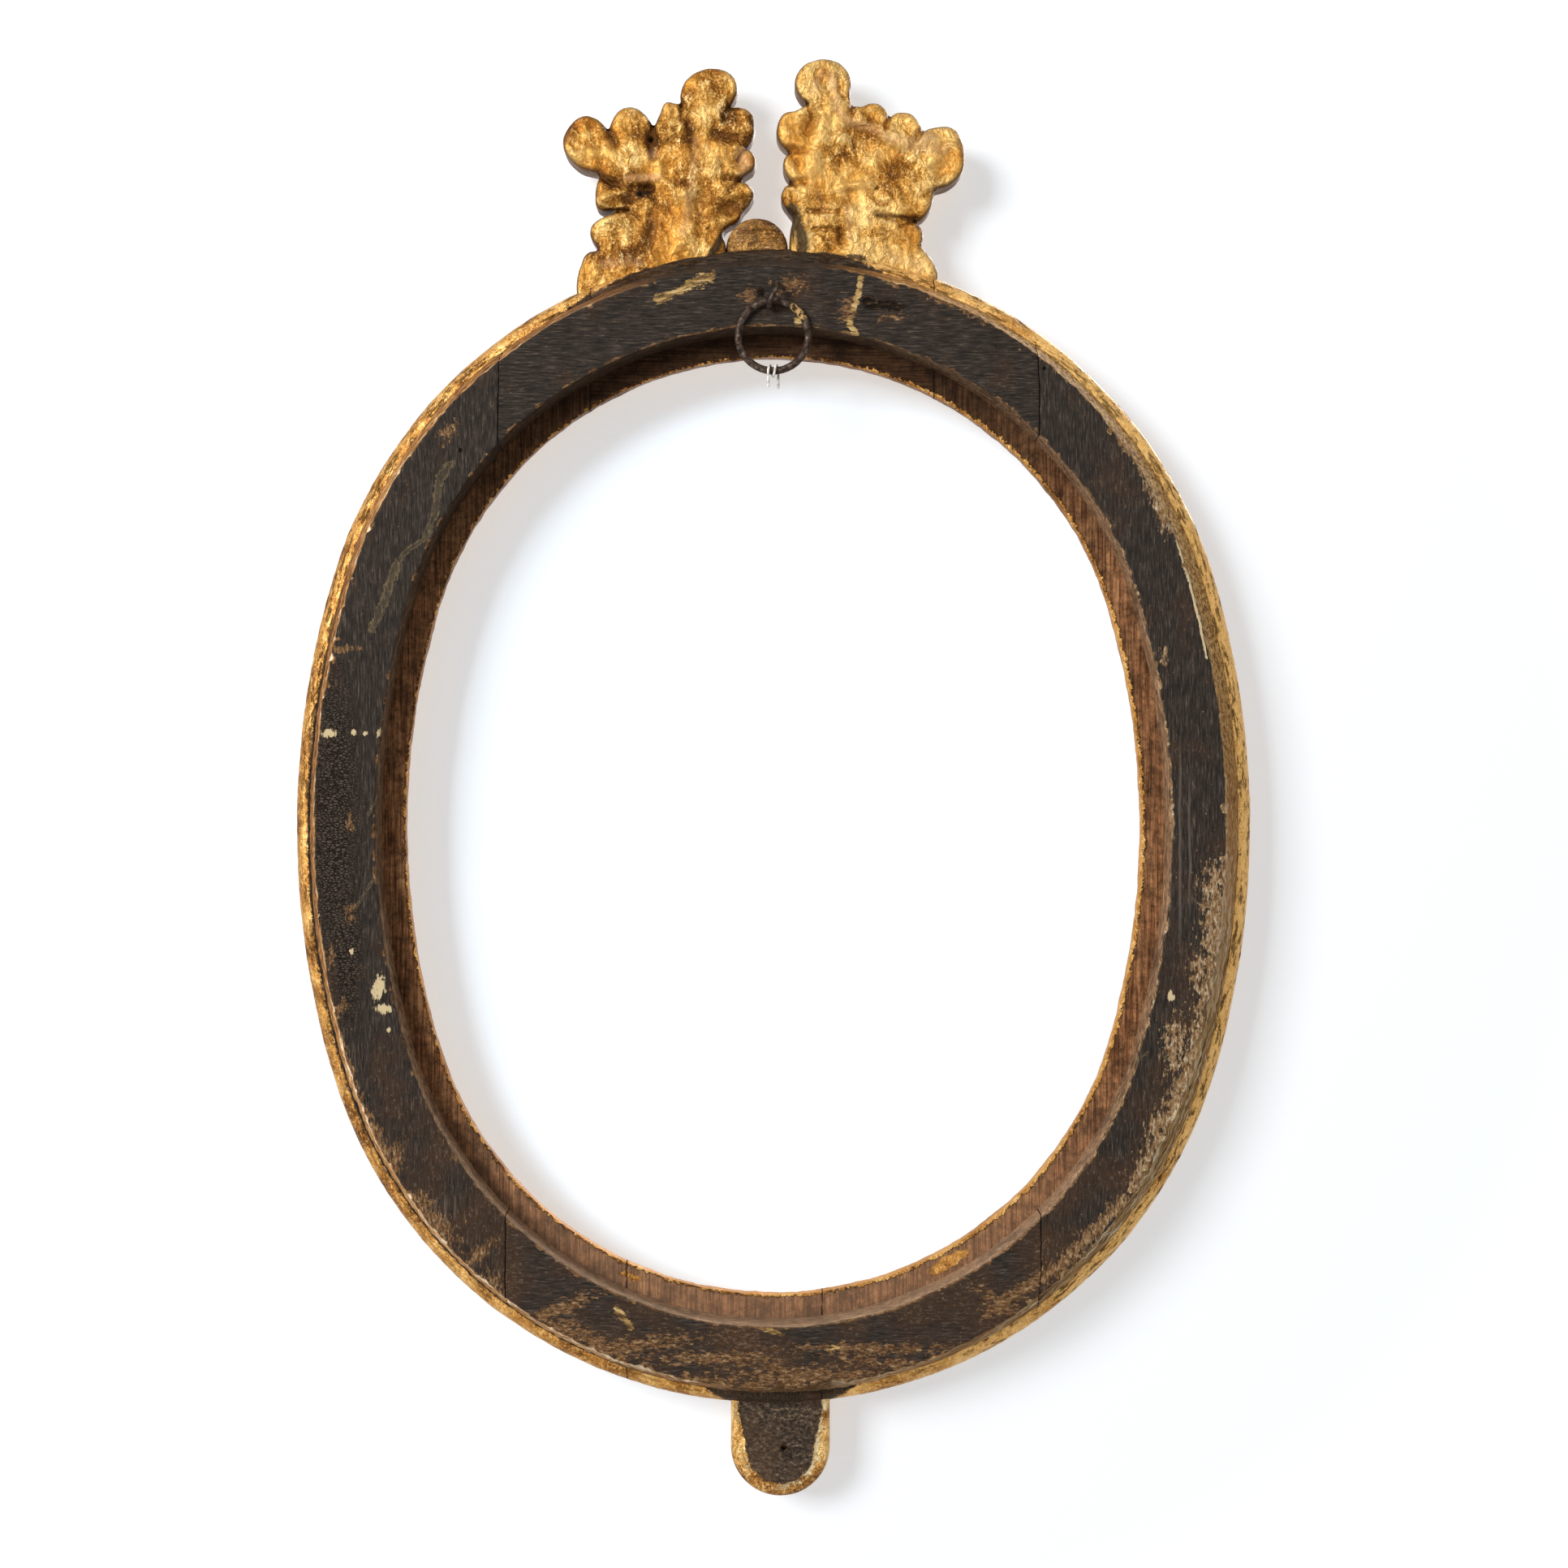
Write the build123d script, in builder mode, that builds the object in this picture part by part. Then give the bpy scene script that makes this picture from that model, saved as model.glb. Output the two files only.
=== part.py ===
from build123d import *

import os
from math import atan2, cos, degrees, pi, radians, sin, sqrt

# Oval picture frame of two plies of boards, in millimetres with +Z up
# The origin is the middle of the oval on the plane of the back, where Y is 0
# The wall is on the -Y side and the gilt front faces +Y

# Sight opening, an oval of four arcs
SIGHT_HALF_WIDTH = 180.5
SIGHT_HALF_HEIGHT = 230.0
SIGHT_SIDE_BULGE = 8.5

# Back ply, the flat boards round the rabbet
RABBET_WIDTH = 11.5
RABBET_DEPTH = 18.0
BACK_FACE_WIDTH = 30.0
BACK_SLOPE_RUN = 6.5
WORN_ARRIS = 0.8
BACK_TOP_JOINT_LEFT = -133.0
BACK_TOP_JOINT_RIGHT = 128.5
BACK_BOTTOM_JOINT_LEFT = -129.5
BACK_BOTTOM_JOINT_RIGHT = 129.5

# Front ply, the moulded boards, with heights taken from the seam between the plies
RIM_RUN = 7.0
RIM_ROUND_HEIGHT = 8.0
RIM_BAND_HEIGHT = 4.0
SHOULDER = 1.8
TORUS_WIDTH = 22.5
TORUS_TOP_HEIGHT = 27.0
TORUS_FOOT_HEIGHT = 15.0
COVE_SAG = 2.6
SIGHT_BEAD_WIDTH = 6.5
SIGHT_BEAD_HEIGHT = 3.2
SIGHT_LIP = 5.5
FRONT_TOP_JOINT_LEFT = -90.0
FRONT_TOP_JOINT_RIGHT = 79.0
FRONT_BOTTOM_JOINT_LEFT = -72.0
FRONT_BOTTOM_JOINT_RIGHT = 24.0

# Crest leaves, from the middle of the top of the rim: round lobes as X, rise and radius, and a straight body
CREST_SET_FORWARD = 3.0
CREST_THICKNESS = 18.0
CREST_BEVEL = 2.5
LEFT_LEAF_LOBES = (
    (-31.6, 75.5, 13.8), (-17.2, 60.9, 8.3), (-17.2, 42.2, 7.8), (-17.2, 25.5, 7.0), (-51.2, 63.5, 7.4),
    (-71.2, 58.9, 10.6), (-92.0, 52.2, 12.0), (-79.2, 26.9, 8.3), (-81.2, 8.9, 9.0), (-85.9, -12.5, 12.0),
)
LEFT_LEAF_BODY = (
    (-27.0, -14.0), (-25.0, 6.0), (-17.0, 14.0), (-15.0, 61.0), (-30.0, 76.0), (-52.0, 63.0), (-71.0, 59.0),
    (-90.0, 52.0), (-79.0, 28.0), (-68.0, 20.0), (-80.0, 8.0), (-86.0, -14.0), (-88.0, -36.0),
)
RIGHT_LEAF_LOBES = (
    (24.4, 79.8, 14.0), (11.5, 59.5, 10.0), (12.8, 40.2, 7.8), (12.1, 25.5, 8.0), (48.1, 64.2, 8.0),
    (64.8, 59.5, 8.2), (80.1, 44.5, 14.6), (70.1, 23.5, 9.3), (69.5, 6.9, 4.8), (69.5, -9.8, 11.6),
)
RIGHT_LEAF_BODY = (
    (15.0, -14.0), (15.0, 1.0), (8.8, 8.6), (8.0, 20.0), (12.0, 60.0), (24.0, 76.0), (48.0, 65.0),
    (65.0, 60.0), (80.0, 44.0), (70.0, 23.0), (68.0, 12.0), (69.0, 0.0), (74.0, -30.0),
)

# Boss between the leaves
BOSS_X = -8.2
BOSS_RISE = 0.5
BOSS_RADIUS = 15.3
BOSS_SET_FORWARD = 5.0
BOSS_THICKNESS = 12.0

# Plug of wood let into the right leaf
PLUG_X = 54.5
PLUG_RISE = 26.0
PLUG_RADIUS = 4.7

# Tongue under the oval
TONGUE_X = 3.4
TONGUE_WIDTH = 49.0
TONGUE_DROP = 46.2
TONGUE_SET_FORWARD = 4.0
TONGUE_THICKNESS = 15.0
TONGUE_BEVEL = 3.5
NAIL_HOLE_ASIDE = 1.8
NAIL_HOLE_DROP = 21.8
NAIL_HOLE_RADIUS = 1.0
NAIL_HOLE_DEPTH = 9.0

# Dowels and brads
DOWEL_RADIUS = 3.0
DOWEL_LENGTH = 28.0
DOWEL_HEIGHT = 11.0
CREST_DOWELS = (-70.0, -40.0, 28.0, 60.0)
TONGUE_DOWEL_SPACING = 22.0
BRAD_RADIUS = 0.8
BRAD_LENGTH = 26.0
BRAD_POINT = 4.0
BRAD_FROM_JOINT = 14.0
POINT_SHARE = 0.25

# Iron ring and staple
RING_RADIUS = 16.9
RING_WIRE = 3.7
RING_OFF_BACK = 0.4
RING_EYE_ABOVE_FACE_EDGE = 12.3
STAPLE_WIRE = 2.6
STAPLE_SPREAD = 12.0
STAPLE_LEG = 10.0
STAPLE_POINT = 5.0

# Thread tied round the foot of the ring
THREAD = 1.2
THREAD_TURNS_APART = 3.2
THREAD_TAIL = 8.0

# Clearances
FIT = 0.05
SWING_GAP = 0.3
THREAD_GAP = 0.25

# Centres of the four arcs, which every line round the frame shares
end_radius = SIGHT_HALF_WIDTH - SIGHT_SIDE_BULGE
end_centre = SIGHT_HALF_HEIGHT - end_radius
side_centre = (end_centre**2 - SIGHT_SIDE_BULGE**2) / (2 * SIGHT_SIDE_BULGE)
side_radius = SIGHT_HALF_WIDTH + side_centre
change_angle = degrees(atan2(end_centre, side_centre))
OVAL_ARCS = (
    (-side_centre, 0, side_radius, -change_angle, 2 * change_angle),
    (0, end_centre, end_radius, change_angle, 180 - 2 * change_angle),
    (side_centre, 0, side_radius, 180 - change_angle, 2 * change_angle),
    (0, -end_centre, end_radius, 180 + change_angle, 180 - 2 * change_angle),
)

# Offsets from the sight edge and depths from the back, worked out from the sizes above
face_edge = RABBET_WIDTH + BACK_FACE_WIDTH
seam_edge = face_edge + BACK_SLOPE_RUN
rim_edge = seam_edge + RIM_RUN
face_middle = RABBET_WIDTH + BACK_FACE_WIDTH / 2
rim_depth = RABBET_DEPTH + RIM_ROUND_HEIGHT
shoulder_depth = rim_depth + RIM_BAND_HEIGHT
front_depth = RABBET_DEPTH + TORUS_TOP_HEIGHT
lip_depth = RABBET_DEPTH + SIGHT_LIP
crest_top_of_rim = SIGHT_HALF_HEIGHT + rim_edge
crest_depth = RABBET_DEPTH + CREST_SET_FORWARD
boss_depth = RABBET_DEPTH + BOSS_SET_FORWARD
tongue_depth = RABBET_DEPTH + TONGUE_SET_FORWARD
dowel_depth = RABBET_DEPTH + DOWEL_HEIGHT
outside = crest_top_of_rim + RIM_RUN


def end_arc_height(x, offset):
    """Height above the middle of the line at an offset from the sight edge, at x on an end of the oval."""
    return end_centre + sqrt((end_radius + offset) ** 2 - x**2)


def turned_moulding(draw_section):
    """A section drawn in offset and depth, turned about the centre of each arc of the oval."""
    with BuildPart() as moulding:
        for centre_x, centre_z, radius, start, sweep_angle in OVAL_ARCS:
            outward = Vector(cos(radians(start)), 0, sin(radians(start)))
            along = Vector(-sin(radians(start)), 0, cos(radians(start)))
            sight_point = Vector(centre_x, 0, centre_z) + outward * radius
            with BuildSketch(Plane(origin=sight_point, x_dir=outward, z_dir=along)):
                with BuildLine():
                    draw_section()
                make_face()
            revolve(axis=Axis((centre_x, 0, centre_z), (0, -1, 0)), revolution_arc=sweep_angle)
    return moulding.part


def draw_back_section():
    """Flat back with worn arrises, a square rabbet wall and a sloping outer edge."""
    slope = BACK_SLOPE_RUN / RABBET_DEPTH
    Polyline(
        (RABBET_WIDTH, RABBET_DEPTH),
        (RABBET_WIDTH, WORN_ARRIS),
        (RABBET_WIDTH + WORN_ARRIS, 0),
        (face_edge - WORN_ARRIS, 0),
        (face_edge + slope * WORN_ARRIS, WORN_ARRIS),
        (seam_edge, RABBET_DEPTH),
        close=True,
    )


def draw_front_section():
    """Rounded rim, shoulder, torus, cove and sight bead on a flat seam."""
    seam = (seam_edge, RABBET_DEPTH)
    rim = (rim_edge, rim_depth)
    shoulder = (rim_edge, shoulder_depth)
    torus_outside = (rim_edge - SHOULDER, shoulder_depth + SHOULDER)
    torus_top = (torus_outside[0] - TORUS_WIDTH / 2, front_depth)
    torus_inside = (torus_outside[0] - TORUS_WIDTH, RABBET_DEPTH + TORUS_FOOT_HEIGHT)
    cove_top = (torus_inside[0] - SHOULDER, torus_inside[1] - SHOULDER)
    bead_outside = (SIGHT_BEAD_WIDTH, lip_depth)
    bead_top = (SIGHT_BEAD_WIDTH / 2, lip_depth + SIGHT_BEAD_HEIGHT)
    cove_middle = ((cove_top[0] + bead_outside[0]) / 2, (cove_top[1] + bead_outside[1]) / 2 - COVE_SAG)
    Line((0, RABBET_DEPTH), seam)
    EllipticalCenterArc(
        (seam_edge, rim_depth), RIM_RUN, RIM_ROUND_HEIGHT, start_angle=-90, arc_size=90
    )
    Polyline(rim, shoulder, torus_outside)
    ThreePointArc(torus_outside, torus_top, torus_inside)
    Line(torus_inside, cove_top)
    ThreePointArc(cove_top, cove_middle, bead_outside)
    ThreePointArc(bead_outside, bead_top, (0, lip_depth))
    Line((0, lip_depth), (0, RABBET_DEPTH))


def board(moulding, *spans):
    """The stretch of a moulding inside rectangles that are given by two corners in X and Z."""
    with BuildPart() as stretch:
        add(moulding)
        with BuildSketch(Plane.XZ):
            for (from_x, from_z), (to_x, to_z) in spans:
                with Locations(((from_x + to_x) / 2, (from_z + to_z) / 2)):
                    Rectangle(abs(to_x - from_x), abs(to_z - from_z))
        extrude(amount=2 * front_depth, both=True, mode=Mode.INTERSECT)
    return stretch.part


def rail(moulding, left, right, side):
    """A top (side 1) or bottom (side -1) board between two upright joints."""
    return board(moulding, ((left, 0), (right, side * outside)))


def stile(moulding, top_joint, bottom_joint, side):
    """A left (side -1) or right (side 1) board beyond its two joints."""
    upper = ((top_joint, 0), (side * outside, outside))
    lower = ((bottom_joint, 0), (side * outside, -outside))
    return board(moulding, upper, lower)


def carved_leaf(lobes, body):
    """A leaf of round bevelled lobes on a flat body, cut to sit on the rim."""
    crest_front = crest_depth + CREST_THICKNESS
    with BuildPart() as leaf:
        with BuildSketch(Plane(origin=(0, crest_depth, crest_top_of_rim), x_dir=(1, 0, 0), z_dir=(0, -1, 0))):
            with BuildLine():
                Polyline(*body, close=True)
            make_face()
        extrude(amount=-CREST_THICKNESS)
        for lobe_x, lobe_rise, lobe_radius in lobes:
            lobe_z = crest_top_of_rim + lobe_rise
            with BuildSketch(Plane(origin=(lobe_x, 0, lobe_z), x_dir=(1, 0, 0), z_dir=(0, 0, 1))):
                with BuildLine():
                    Polyline(
                        (0, crest_depth),
                        (lobe_radius - CREST_BEVEL, crest_depth),
                        (lobe_radius, crest_depth + CREST_BEVEL),
                        (lobe_radius, crest_front - CREST_BEVEL),
                        (lobe_radius - CREST_BEVEL, crest_front),
                        (0, crest_front),
                        close=True,
                    )
                make_face()
            revolve(axis=Axis((lobe_x, 0, lobe_z), (0, 1, 0)))
        add(front_moulding, mode=Mode.SUBTRACT)
    return leaf.part


def upright_pins(places, radius, length):
    """Round pins along Z, each centred on its place."""
    with BuildPart() as pins:
        for place in places:
            with BuildSketch(Plane(origin=place)):
                Circle(radius)
            extrude(amount=length / 2, both=True)
    return pins.part


def level_pins(places, radius, length):
    """Round pins that run forward from the plane of the back at X and Z places."""
    with BuildPart() as pins:
        with BuildSketch(Plane.XZ):
            with Locations(*places):
                Circle(radius)
        extrude(amount=-length)
    return pins.part


back_moulding = turned_moulding(draw_back_section)
front_moulding = turned_moulding(draw_front_section)

# Places of the pins
crest_dowel_places = [(x, dowel_depth, end_arc_height(x, rim_edge)) for x in CREST_DOWELS]
tongue_dowel_places = []
for side in (-1, 1):
    dowel_x = TONGUE_X + side * TONGUE_DOWEL_SPACING / 2
    tongue_dowel_places.append((dowel_x, dowel_depth, -end_arc_height(dowel_x, rim_edge)))
brad_places = []
for joint, side in (
    (BACK_TOP_JOINT_LEFT, 1),
    (BACK_TOP_JOINT_RIGHT, 1),
    (BACK_BOTTOM_JOINT_LEFT, -1),
    (BACK_BOTTOM_JOINT_RIGHT, -1),
):
    for brad_x in (joint - BRAD_FROM_JOINT, joint + BRAD_FROM_JOINT):
        brad_places.append((brad_x, side * end_arc_height(brad_x, face_middle)))
dowel_holes = upright_pins(
    crest_dowel_places + tongue_dowel_places, DOWEL_RADIUS + FIT, DOWEL_LENGTH + 2 * FIT
)
brad_holes = level_pins(brad_places, BRAD_RADIUS + FIT, BRAD_LENGTH + FIT)

# The ring's upper wire turns in the staple and the ring lies just off the back
eye_y = -(RING_WIRE / 2 + RING_OFF_BACK)
eye_z = SIGHT_HALF_HEIGHT + RABBET_WIDTH + RING_EYE_ABOVE_FACE_EDGE
leg_low = eye_z - RING_WIRE / 2 - SWING_GAP - STAPLE_WIRE / 2
leg_high = leg_low + STAPLE_SPREAD
bow_y = eye_y - SWING_GAP
leg_holes = level_pins(
    [(0, leg_low), (0, leg_high)], STAPLE_WIRE / 2 + FIT, STAPLE_LEG + STAPLE_POINT + FIT
)

# Back ply
back_top_board = rail(back_moulding, BACK_TOP_JOINT_LEFT, BACK_TOP_JOINT_RIGHT, 1)
with BuildPart() as back_top:
    add(back_top_board)
    add(brad_holes, mode=Mode.SUBTRACT)
    add(leg_holes, mode=Mode.SUBTRACT)

back_bottom_board = rail(back_moulding, BACK_BOTTOM_JOINT_LEFT, BACK_BOTTOM_JOINT_RIGHT, -1)
with BuildPart() as back_bottom:
    add(back_bottom_board)
    add(brad_holes, mode=Mode.SUBTRACT)

back_left_board = stile(back_moulding, BACK_TOP_JOINT_LEFT, BACK_BOTTOM_JOINT_LEFT, -1)
with BuildPart() as back_left:
    add(back_left_board)
    add(brad_holes, mode=Mode.SUBTRACT)

back_right_board = stile(back_moulding, BACK_TOP_JOINT_RIGHT, BACK_BOTTOM_JOINT_RIGHT, 1)
with BuildPart() as back_right:
    add(back_right_board)
    add(brad_holes, mode=Mode.SUBTRACT)

# Front ply
front_top_board = rail(front_moulding, FRONT_TOP_JOINT_LEFT, FRONT_TOP_JOINT_RIGHT, 1)
with BuildPart() as front_top:
    add(front_top_board)
    add(dowel_holes, mode=Mode.SUBTRACT)
    add(brad_holes, mode=Mode.SUBTRACT)
    add(leg_holes, mode=Mode.SUBTRACT)

front_bottom_board = rail(front_moulding, FRONT_BOTTOM_JOINT_LEFT, FRONT_BOTTOM_JOINT_RIGHT, -1)
with BuildPart() as front_bottom:
    add(front_bottom_board)
    add(dowel_holes, mode=Mode.SUBTRACT)
    add(brad_holes, mode=Mode.SUBTRACT)

front_left_board = stile(front_moulding, FRONT_TOP_JOINT_LEFT, FRONT_BOTTOM_JOINT_LEFT, -1)
with BuildPart() as front_left:
    add(front_left_board)
    add(dowel_holes, mode=Mode.SUBTRACT)
    add(brad_holes, mode=Mode.SUBTRACT)

front_right_board = stile(front_moulding, FRONT_TOP_JOINT_RIGHT, FRONT_BOTTOM_JOINT_RIGHT, 1)
with BuildPart() as front_right:
    add(front_right_board)
    add(dowel_holes, mode=Mode.SUBTRACT)
    add(brad_holes, mode=Mode.SUBTRACT)

# Crest
left_leaf = carved_leaf(LEFT_LEAF_LOBES, LEFT_LEAF_BODY)
with BuildPart() as crest_left:
    add(left_leaf)
    add(dowel_holes, mode=Mode.SUBTRACT)

plug_plane = Plane(
    origin=(PLUG_X, crest_depth, crest_top_of_rim + PLUG_RISE), x_dir=(1, 0, 0), z_dir=(0, 1, 0)
)
right_leaf = carved_leaf(RIGHT_LEAF_LOBES, RIGHT_LEAF_BODY)
with BuildPart() as crest_right:
    add(right_leaf)
    add(dowel_holes, mode=Mode.SUBTRACT)
    with BuildSketch(plug_plane):
        Circle(PLUG_RADIUS + FIT)
    extrude(amount=CREST_THICKNESS, mode=Mode.SUBTRACT)

with BuildPart() as crest_plug:
    with BuildSketch(plug_plane):
        Circle(PLUG_RADIUS)
    extrude(amount=CREST_THICKNESS)

boss_plane = Plane(
    origin=(BOSS_X, boss_depth, crest_top_of_rim + BOSS_RISE), x_dir=(1, 0, 0), z_dir=(0, 1, 0)
)
with BuildPart() as crest_boss:
    with BuildSketch(boss_plane):
        Circle(BOSS_RADIUS)
    extrude(amount=BOSS_THICKNESS)
    for neighbour in (front_moulding, left_leaf, right_leaf):
        add(neighbour, mode=Mode.SUBTRACT)

# Tongue
tongue_end = -(crest_top_of_rim + TONGUE_DROP - TONGUE_WIDTH / 2)
tongue_root = -(SIGHT_HALF_HEIGHT + face_edge)
with BuildPart() as tongue:
    with BuildSketch(Plane.XZ.offset(-tongue_depth)):
        with BuildLine():
            left_side = Line(
                (TONGUE_X - TONGUE_WIDTH / 2, tongue_root), (TONGUE_X - TONGUE_WIDTH / 2, tongue_end)
            )
            round_end = ThreePointArc(
                left_side @ 1, (TONGUE_X, tongue_end - TONGUE_WIDTH / 2), (TONGUE_X + TONGUE_WIDTH / 2, tongue_end)
            )
            Polyline(round_end @ 1, (TONGUE_X + TONGUE_WIDTH / 2, tongue_root), left_side @ 0)
        make_face()
    extrude(amount=-TONGUE_THICKNESS)
    broad_faces = tongue.faces().filter_by(Axis.Y)
    chamfer(broad_faces.edges(), length=TONGUE_BEVEL)
    add(front_moulding, mode=Mode.SUBTRACT)
    add(dowel_holes, mode=Mode.SUBTRACT)
    with BuildSketch(Plane.XZ.offset(-tongue_depth)):
        with Locations((TONGUE_X + NAIL_HOLE_ASIDE, -(crest_top_of_rim + NAIL_HOLE_DROP))):
            Circle(NAIL_HOLE_RADIUS)
    extrude(amount=-NAIL_HOLE_DEPTH, mode=Mode.SUBTRACT)

# Pins
crest_dowel_pins = upright_pins(crest_dowel_places, DOWEL_RADIUS, DOWEL_LENGTH)
with BuildPart() as crest_dowels:
    add(crest_dowel_pins)

tongue_dowel_pins = upright_pins(tongue_dowel_places, DOWEL_RADIUS, DOWEL_LENGTH)
with BuildPart() as tongue_dowels:
    add(tongue_dowel_pins)

with BuildPart() as ply_brads:
    for brad_x, brad_z in brad_places:
        with BuildSketch(Plane(origin=(brad_x, 0, brad_z), z_dir=(0, 1, 0))):
            Circle(BRAD_RADIUS)
        extrude(amount=BRAD_LENGTH - BRAD_POINT)
        with BuildSketch(Plane(origin=(brad_x, BRAD_LENGTH - BRAD_POINT, brad_z), z_dir=(0, 1, 0))):
            Circle(BRAD_RADIUS)
        with BuildSketch(Plane(origin=(brad_x, BRAD_LENGTH, brad_z), z_dir=(0, 1, 0))):
            Circle(BRAD_RADIUS * POINT_SHARE)
        loft()

# Staple, bent round the ring's upper wire, with two pointed legs in the top board
with BuildPart() as staple:
    with BuildLine(Plane.YZ) as staple_line:
        upper_leg = Line((STAPLE_LEG, leg_high), (bow_y, leg_high))
        bow = ThreePointArc(
            upper_leg @ 1, (bow_y - STAPLE_SPREAD / 2, (leg_low + leg_high) / 2), (bow_y, leg_low)
        )
        Line(bow @ 1, (STAPLE_LEG, leg_low))
    with BuildSketch(Plane(origin=(0, STAPLE_LEG, leg_high), z_dir=(0, -1, 0))):
        Circle(STAPLE_WIRE / 2)
    sweep()
    for leg_z in (leg_low, leg_high):
        with BuildSketch(Plane(origin=(0, STAPLE_LEG, leg_z), z_dir=(0, 1, 0))):
            Circle(STAPLE_WIRE / 2)
        with BuildSketch(Plane(origin=(0, STAPLE_LEG + STAPLE_POINT, leg_z), z_dir=(0, 1, 0))):
            Circle(STAPLE_WIRE / 2 * POINT_SHARE)
        loft()

# Ring
ring_z = eye_z - RING_RADIUS
with BuildPart() as hanging_ring:
    with BuildSketch(Plane.YZ):
        with Locations((eye_y, eye_z)):
            Circle(RING_WIRE / 2)
    revolve(axis=Axis((0, eye_y, ring_z), (0, 1, 0)))

# Thread, one length that climbs in front, goes twice round the ring's foot and drops behind
wrap_radius = RING_WIRE / 2 + THREAD_GAP + THREAD / 2
foot_z = ring_z - RING_RADIUS
half_turns = 3


def wrap_point(half_turn):
    """Where the thread passes the front or the back of the ring's foot."""
    x = THREAD_TURNS_APART * (half_turn - half_turns / 2) / 2
    return Vector(x, eye_y - wrap_radius * (-1) ** half_turn, foot_z)


def wrap_tangent(half_turn):
    """Way of the thread there: upright at the two tails and slanting between them."""
    between = 0 < half_turn < half_turns
    slant = THREAD_TURNS_APART / (2 * pi * wrap_radius) if between else 0
    return Vector(slant, 0, (-1) ** half_turn).normalized()


def middle_of_two_arcs(start, start_way, end, end_way):
    """Point where two arcs that leave start and reach end along the given ways meet, and their way there."""
    chord = end - start
    ways = start_way + end_way
    bend = 2 * (1 - start_way.dot(end_way))
    reach = (-chord.dot(ways) + sqrt(chord.dot(ways) ** 2 + bend * chord.dot(chord))) / bend
    near, far = start + start_way * reach, end - end_way * reach
    return (near + far) / 2, (far - near).normalized()


with BuildPart() as thread:
    with BuildLine() as thread_line:
        Line(wrap_point(0) - Vector(0, 0, THREAD_TAIL), wrap_point(0))
        for turn in range(half_turns):
            start, end = wrap_point(turn), wrap_point(turn + 1)
            middle, way = middle_of_two_arcs(start, wrap_tangent(turn), end, wrap_tangent(turn + 1))
            TangentArc(start, middle, tangent=wrap_tangent(turn))
            TangentArc(middle, end, tangent=way)
        Line(wrap_point(half_turns), wrap_point(half_turns) - Vector(0, 0, THREAD_TAIL))
    with BuildSketch(Plane(origin=wrap_point(0) - Vector(0, 0, THREAD_TAIL))):
        Circle(THREAD / 2)
    sweep()

samples = 240
thread_length = thread_line.wires()[0].length
thread_points = [thread_line.wires()[0].position_at(step / samples) for step in range(samples + 1)]
apart = int(samples * pi * wrap_radius / thread_length)
least_gap = min(
    (thread_points[first] - thread_points[second]).length - THREAD
    for first in range(samples)
    for second in range(first + apart, samples + 1)
)
print("thread length", round(thread_length, 1), "least gap to itself", round(least_gap, 2))

os.makedirs("parts", exist_ok=True)
pieces = {
    "back_top": back_top,
    "back_bottom": back_bottom,
    "back_left": back_left,
    "back_right": back_right,
    "front_top": front_top,
    "front_bottom": front_bottom,
    "front_left": front_left,
    "front_right": front_right,
    "crest_left": crest_left,
    "crest_right": crest_right,
    "crest_plug": crest_plug,
    "crest_boss": crest_boss,
    "tongue": tongue,
    "crest_dowels": crest_dowels,
    "tongue_dowels": tongue_dowels,
    "ply_brads": ply_brads,
    "staple": staple,
    "hanging_ring": hanging_ring,
    "thread": thread,
}
for name, piece in pieces.items():
    piece.part.label = name
    export_step(piece.part, f"parts/{name}.step")
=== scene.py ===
import logging
import math
from collections.abc import Iterable, Sequence
from dataclasses import dataclass
from enum import Enum
from functools import cached_property, partial, reduce

import bmesh
import bpy
import numpy as np
from bmesh.types import BMEdge, BMesh, BMVert
from bpy.types import ID, Material, Mesh, Node, NodeSocket, NodeTree, Object
from mathutils import Matrix, Vector, noise


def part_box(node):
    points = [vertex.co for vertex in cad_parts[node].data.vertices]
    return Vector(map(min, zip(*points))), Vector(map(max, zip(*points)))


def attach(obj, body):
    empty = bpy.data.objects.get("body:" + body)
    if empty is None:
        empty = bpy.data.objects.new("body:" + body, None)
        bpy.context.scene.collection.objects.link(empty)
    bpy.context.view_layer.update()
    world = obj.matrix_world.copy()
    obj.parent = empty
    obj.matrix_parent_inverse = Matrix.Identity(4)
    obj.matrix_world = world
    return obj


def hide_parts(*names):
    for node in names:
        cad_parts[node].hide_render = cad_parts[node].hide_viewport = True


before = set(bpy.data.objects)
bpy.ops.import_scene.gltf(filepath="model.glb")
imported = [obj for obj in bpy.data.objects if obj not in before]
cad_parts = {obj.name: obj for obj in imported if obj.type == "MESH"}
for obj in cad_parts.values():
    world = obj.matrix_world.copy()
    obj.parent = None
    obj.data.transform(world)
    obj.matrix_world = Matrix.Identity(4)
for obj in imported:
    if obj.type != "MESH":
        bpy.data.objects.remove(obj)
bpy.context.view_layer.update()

MM = 0.001
LOG = logging.getLogger("oval_frame")
Point = tuple[float, float]
# What a node's input takes: a node for its first output, a socket or a plain value
Feed = Node | NodeSocket | float | Sequence[float]
Inputs = dict[int | str, Feed] | Sequence[Feed]
# The oval's mean radius in millimetres, which turns an angle into a length along a board
MEAN_RADIUS = 200
# A full spin slows with the square of its steps, so a ring is spun in stretches of this many
STRETCH_STEPS = 16
# A wave texture of scale 1 has about this many bands a metre, light and dark counted together
WAVE = 6.28
# Nearer than this, in millimetres, two points are one
TOUCH = 0.01


class Side(Enum):
    """The four boards that go round the oval, as signs along X and Z."""

    TOP = (0, 1)
    BOTTOM = (0, -1)
    LEFT = (-1, 0)
    RIGHT = (1, 0)


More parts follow.
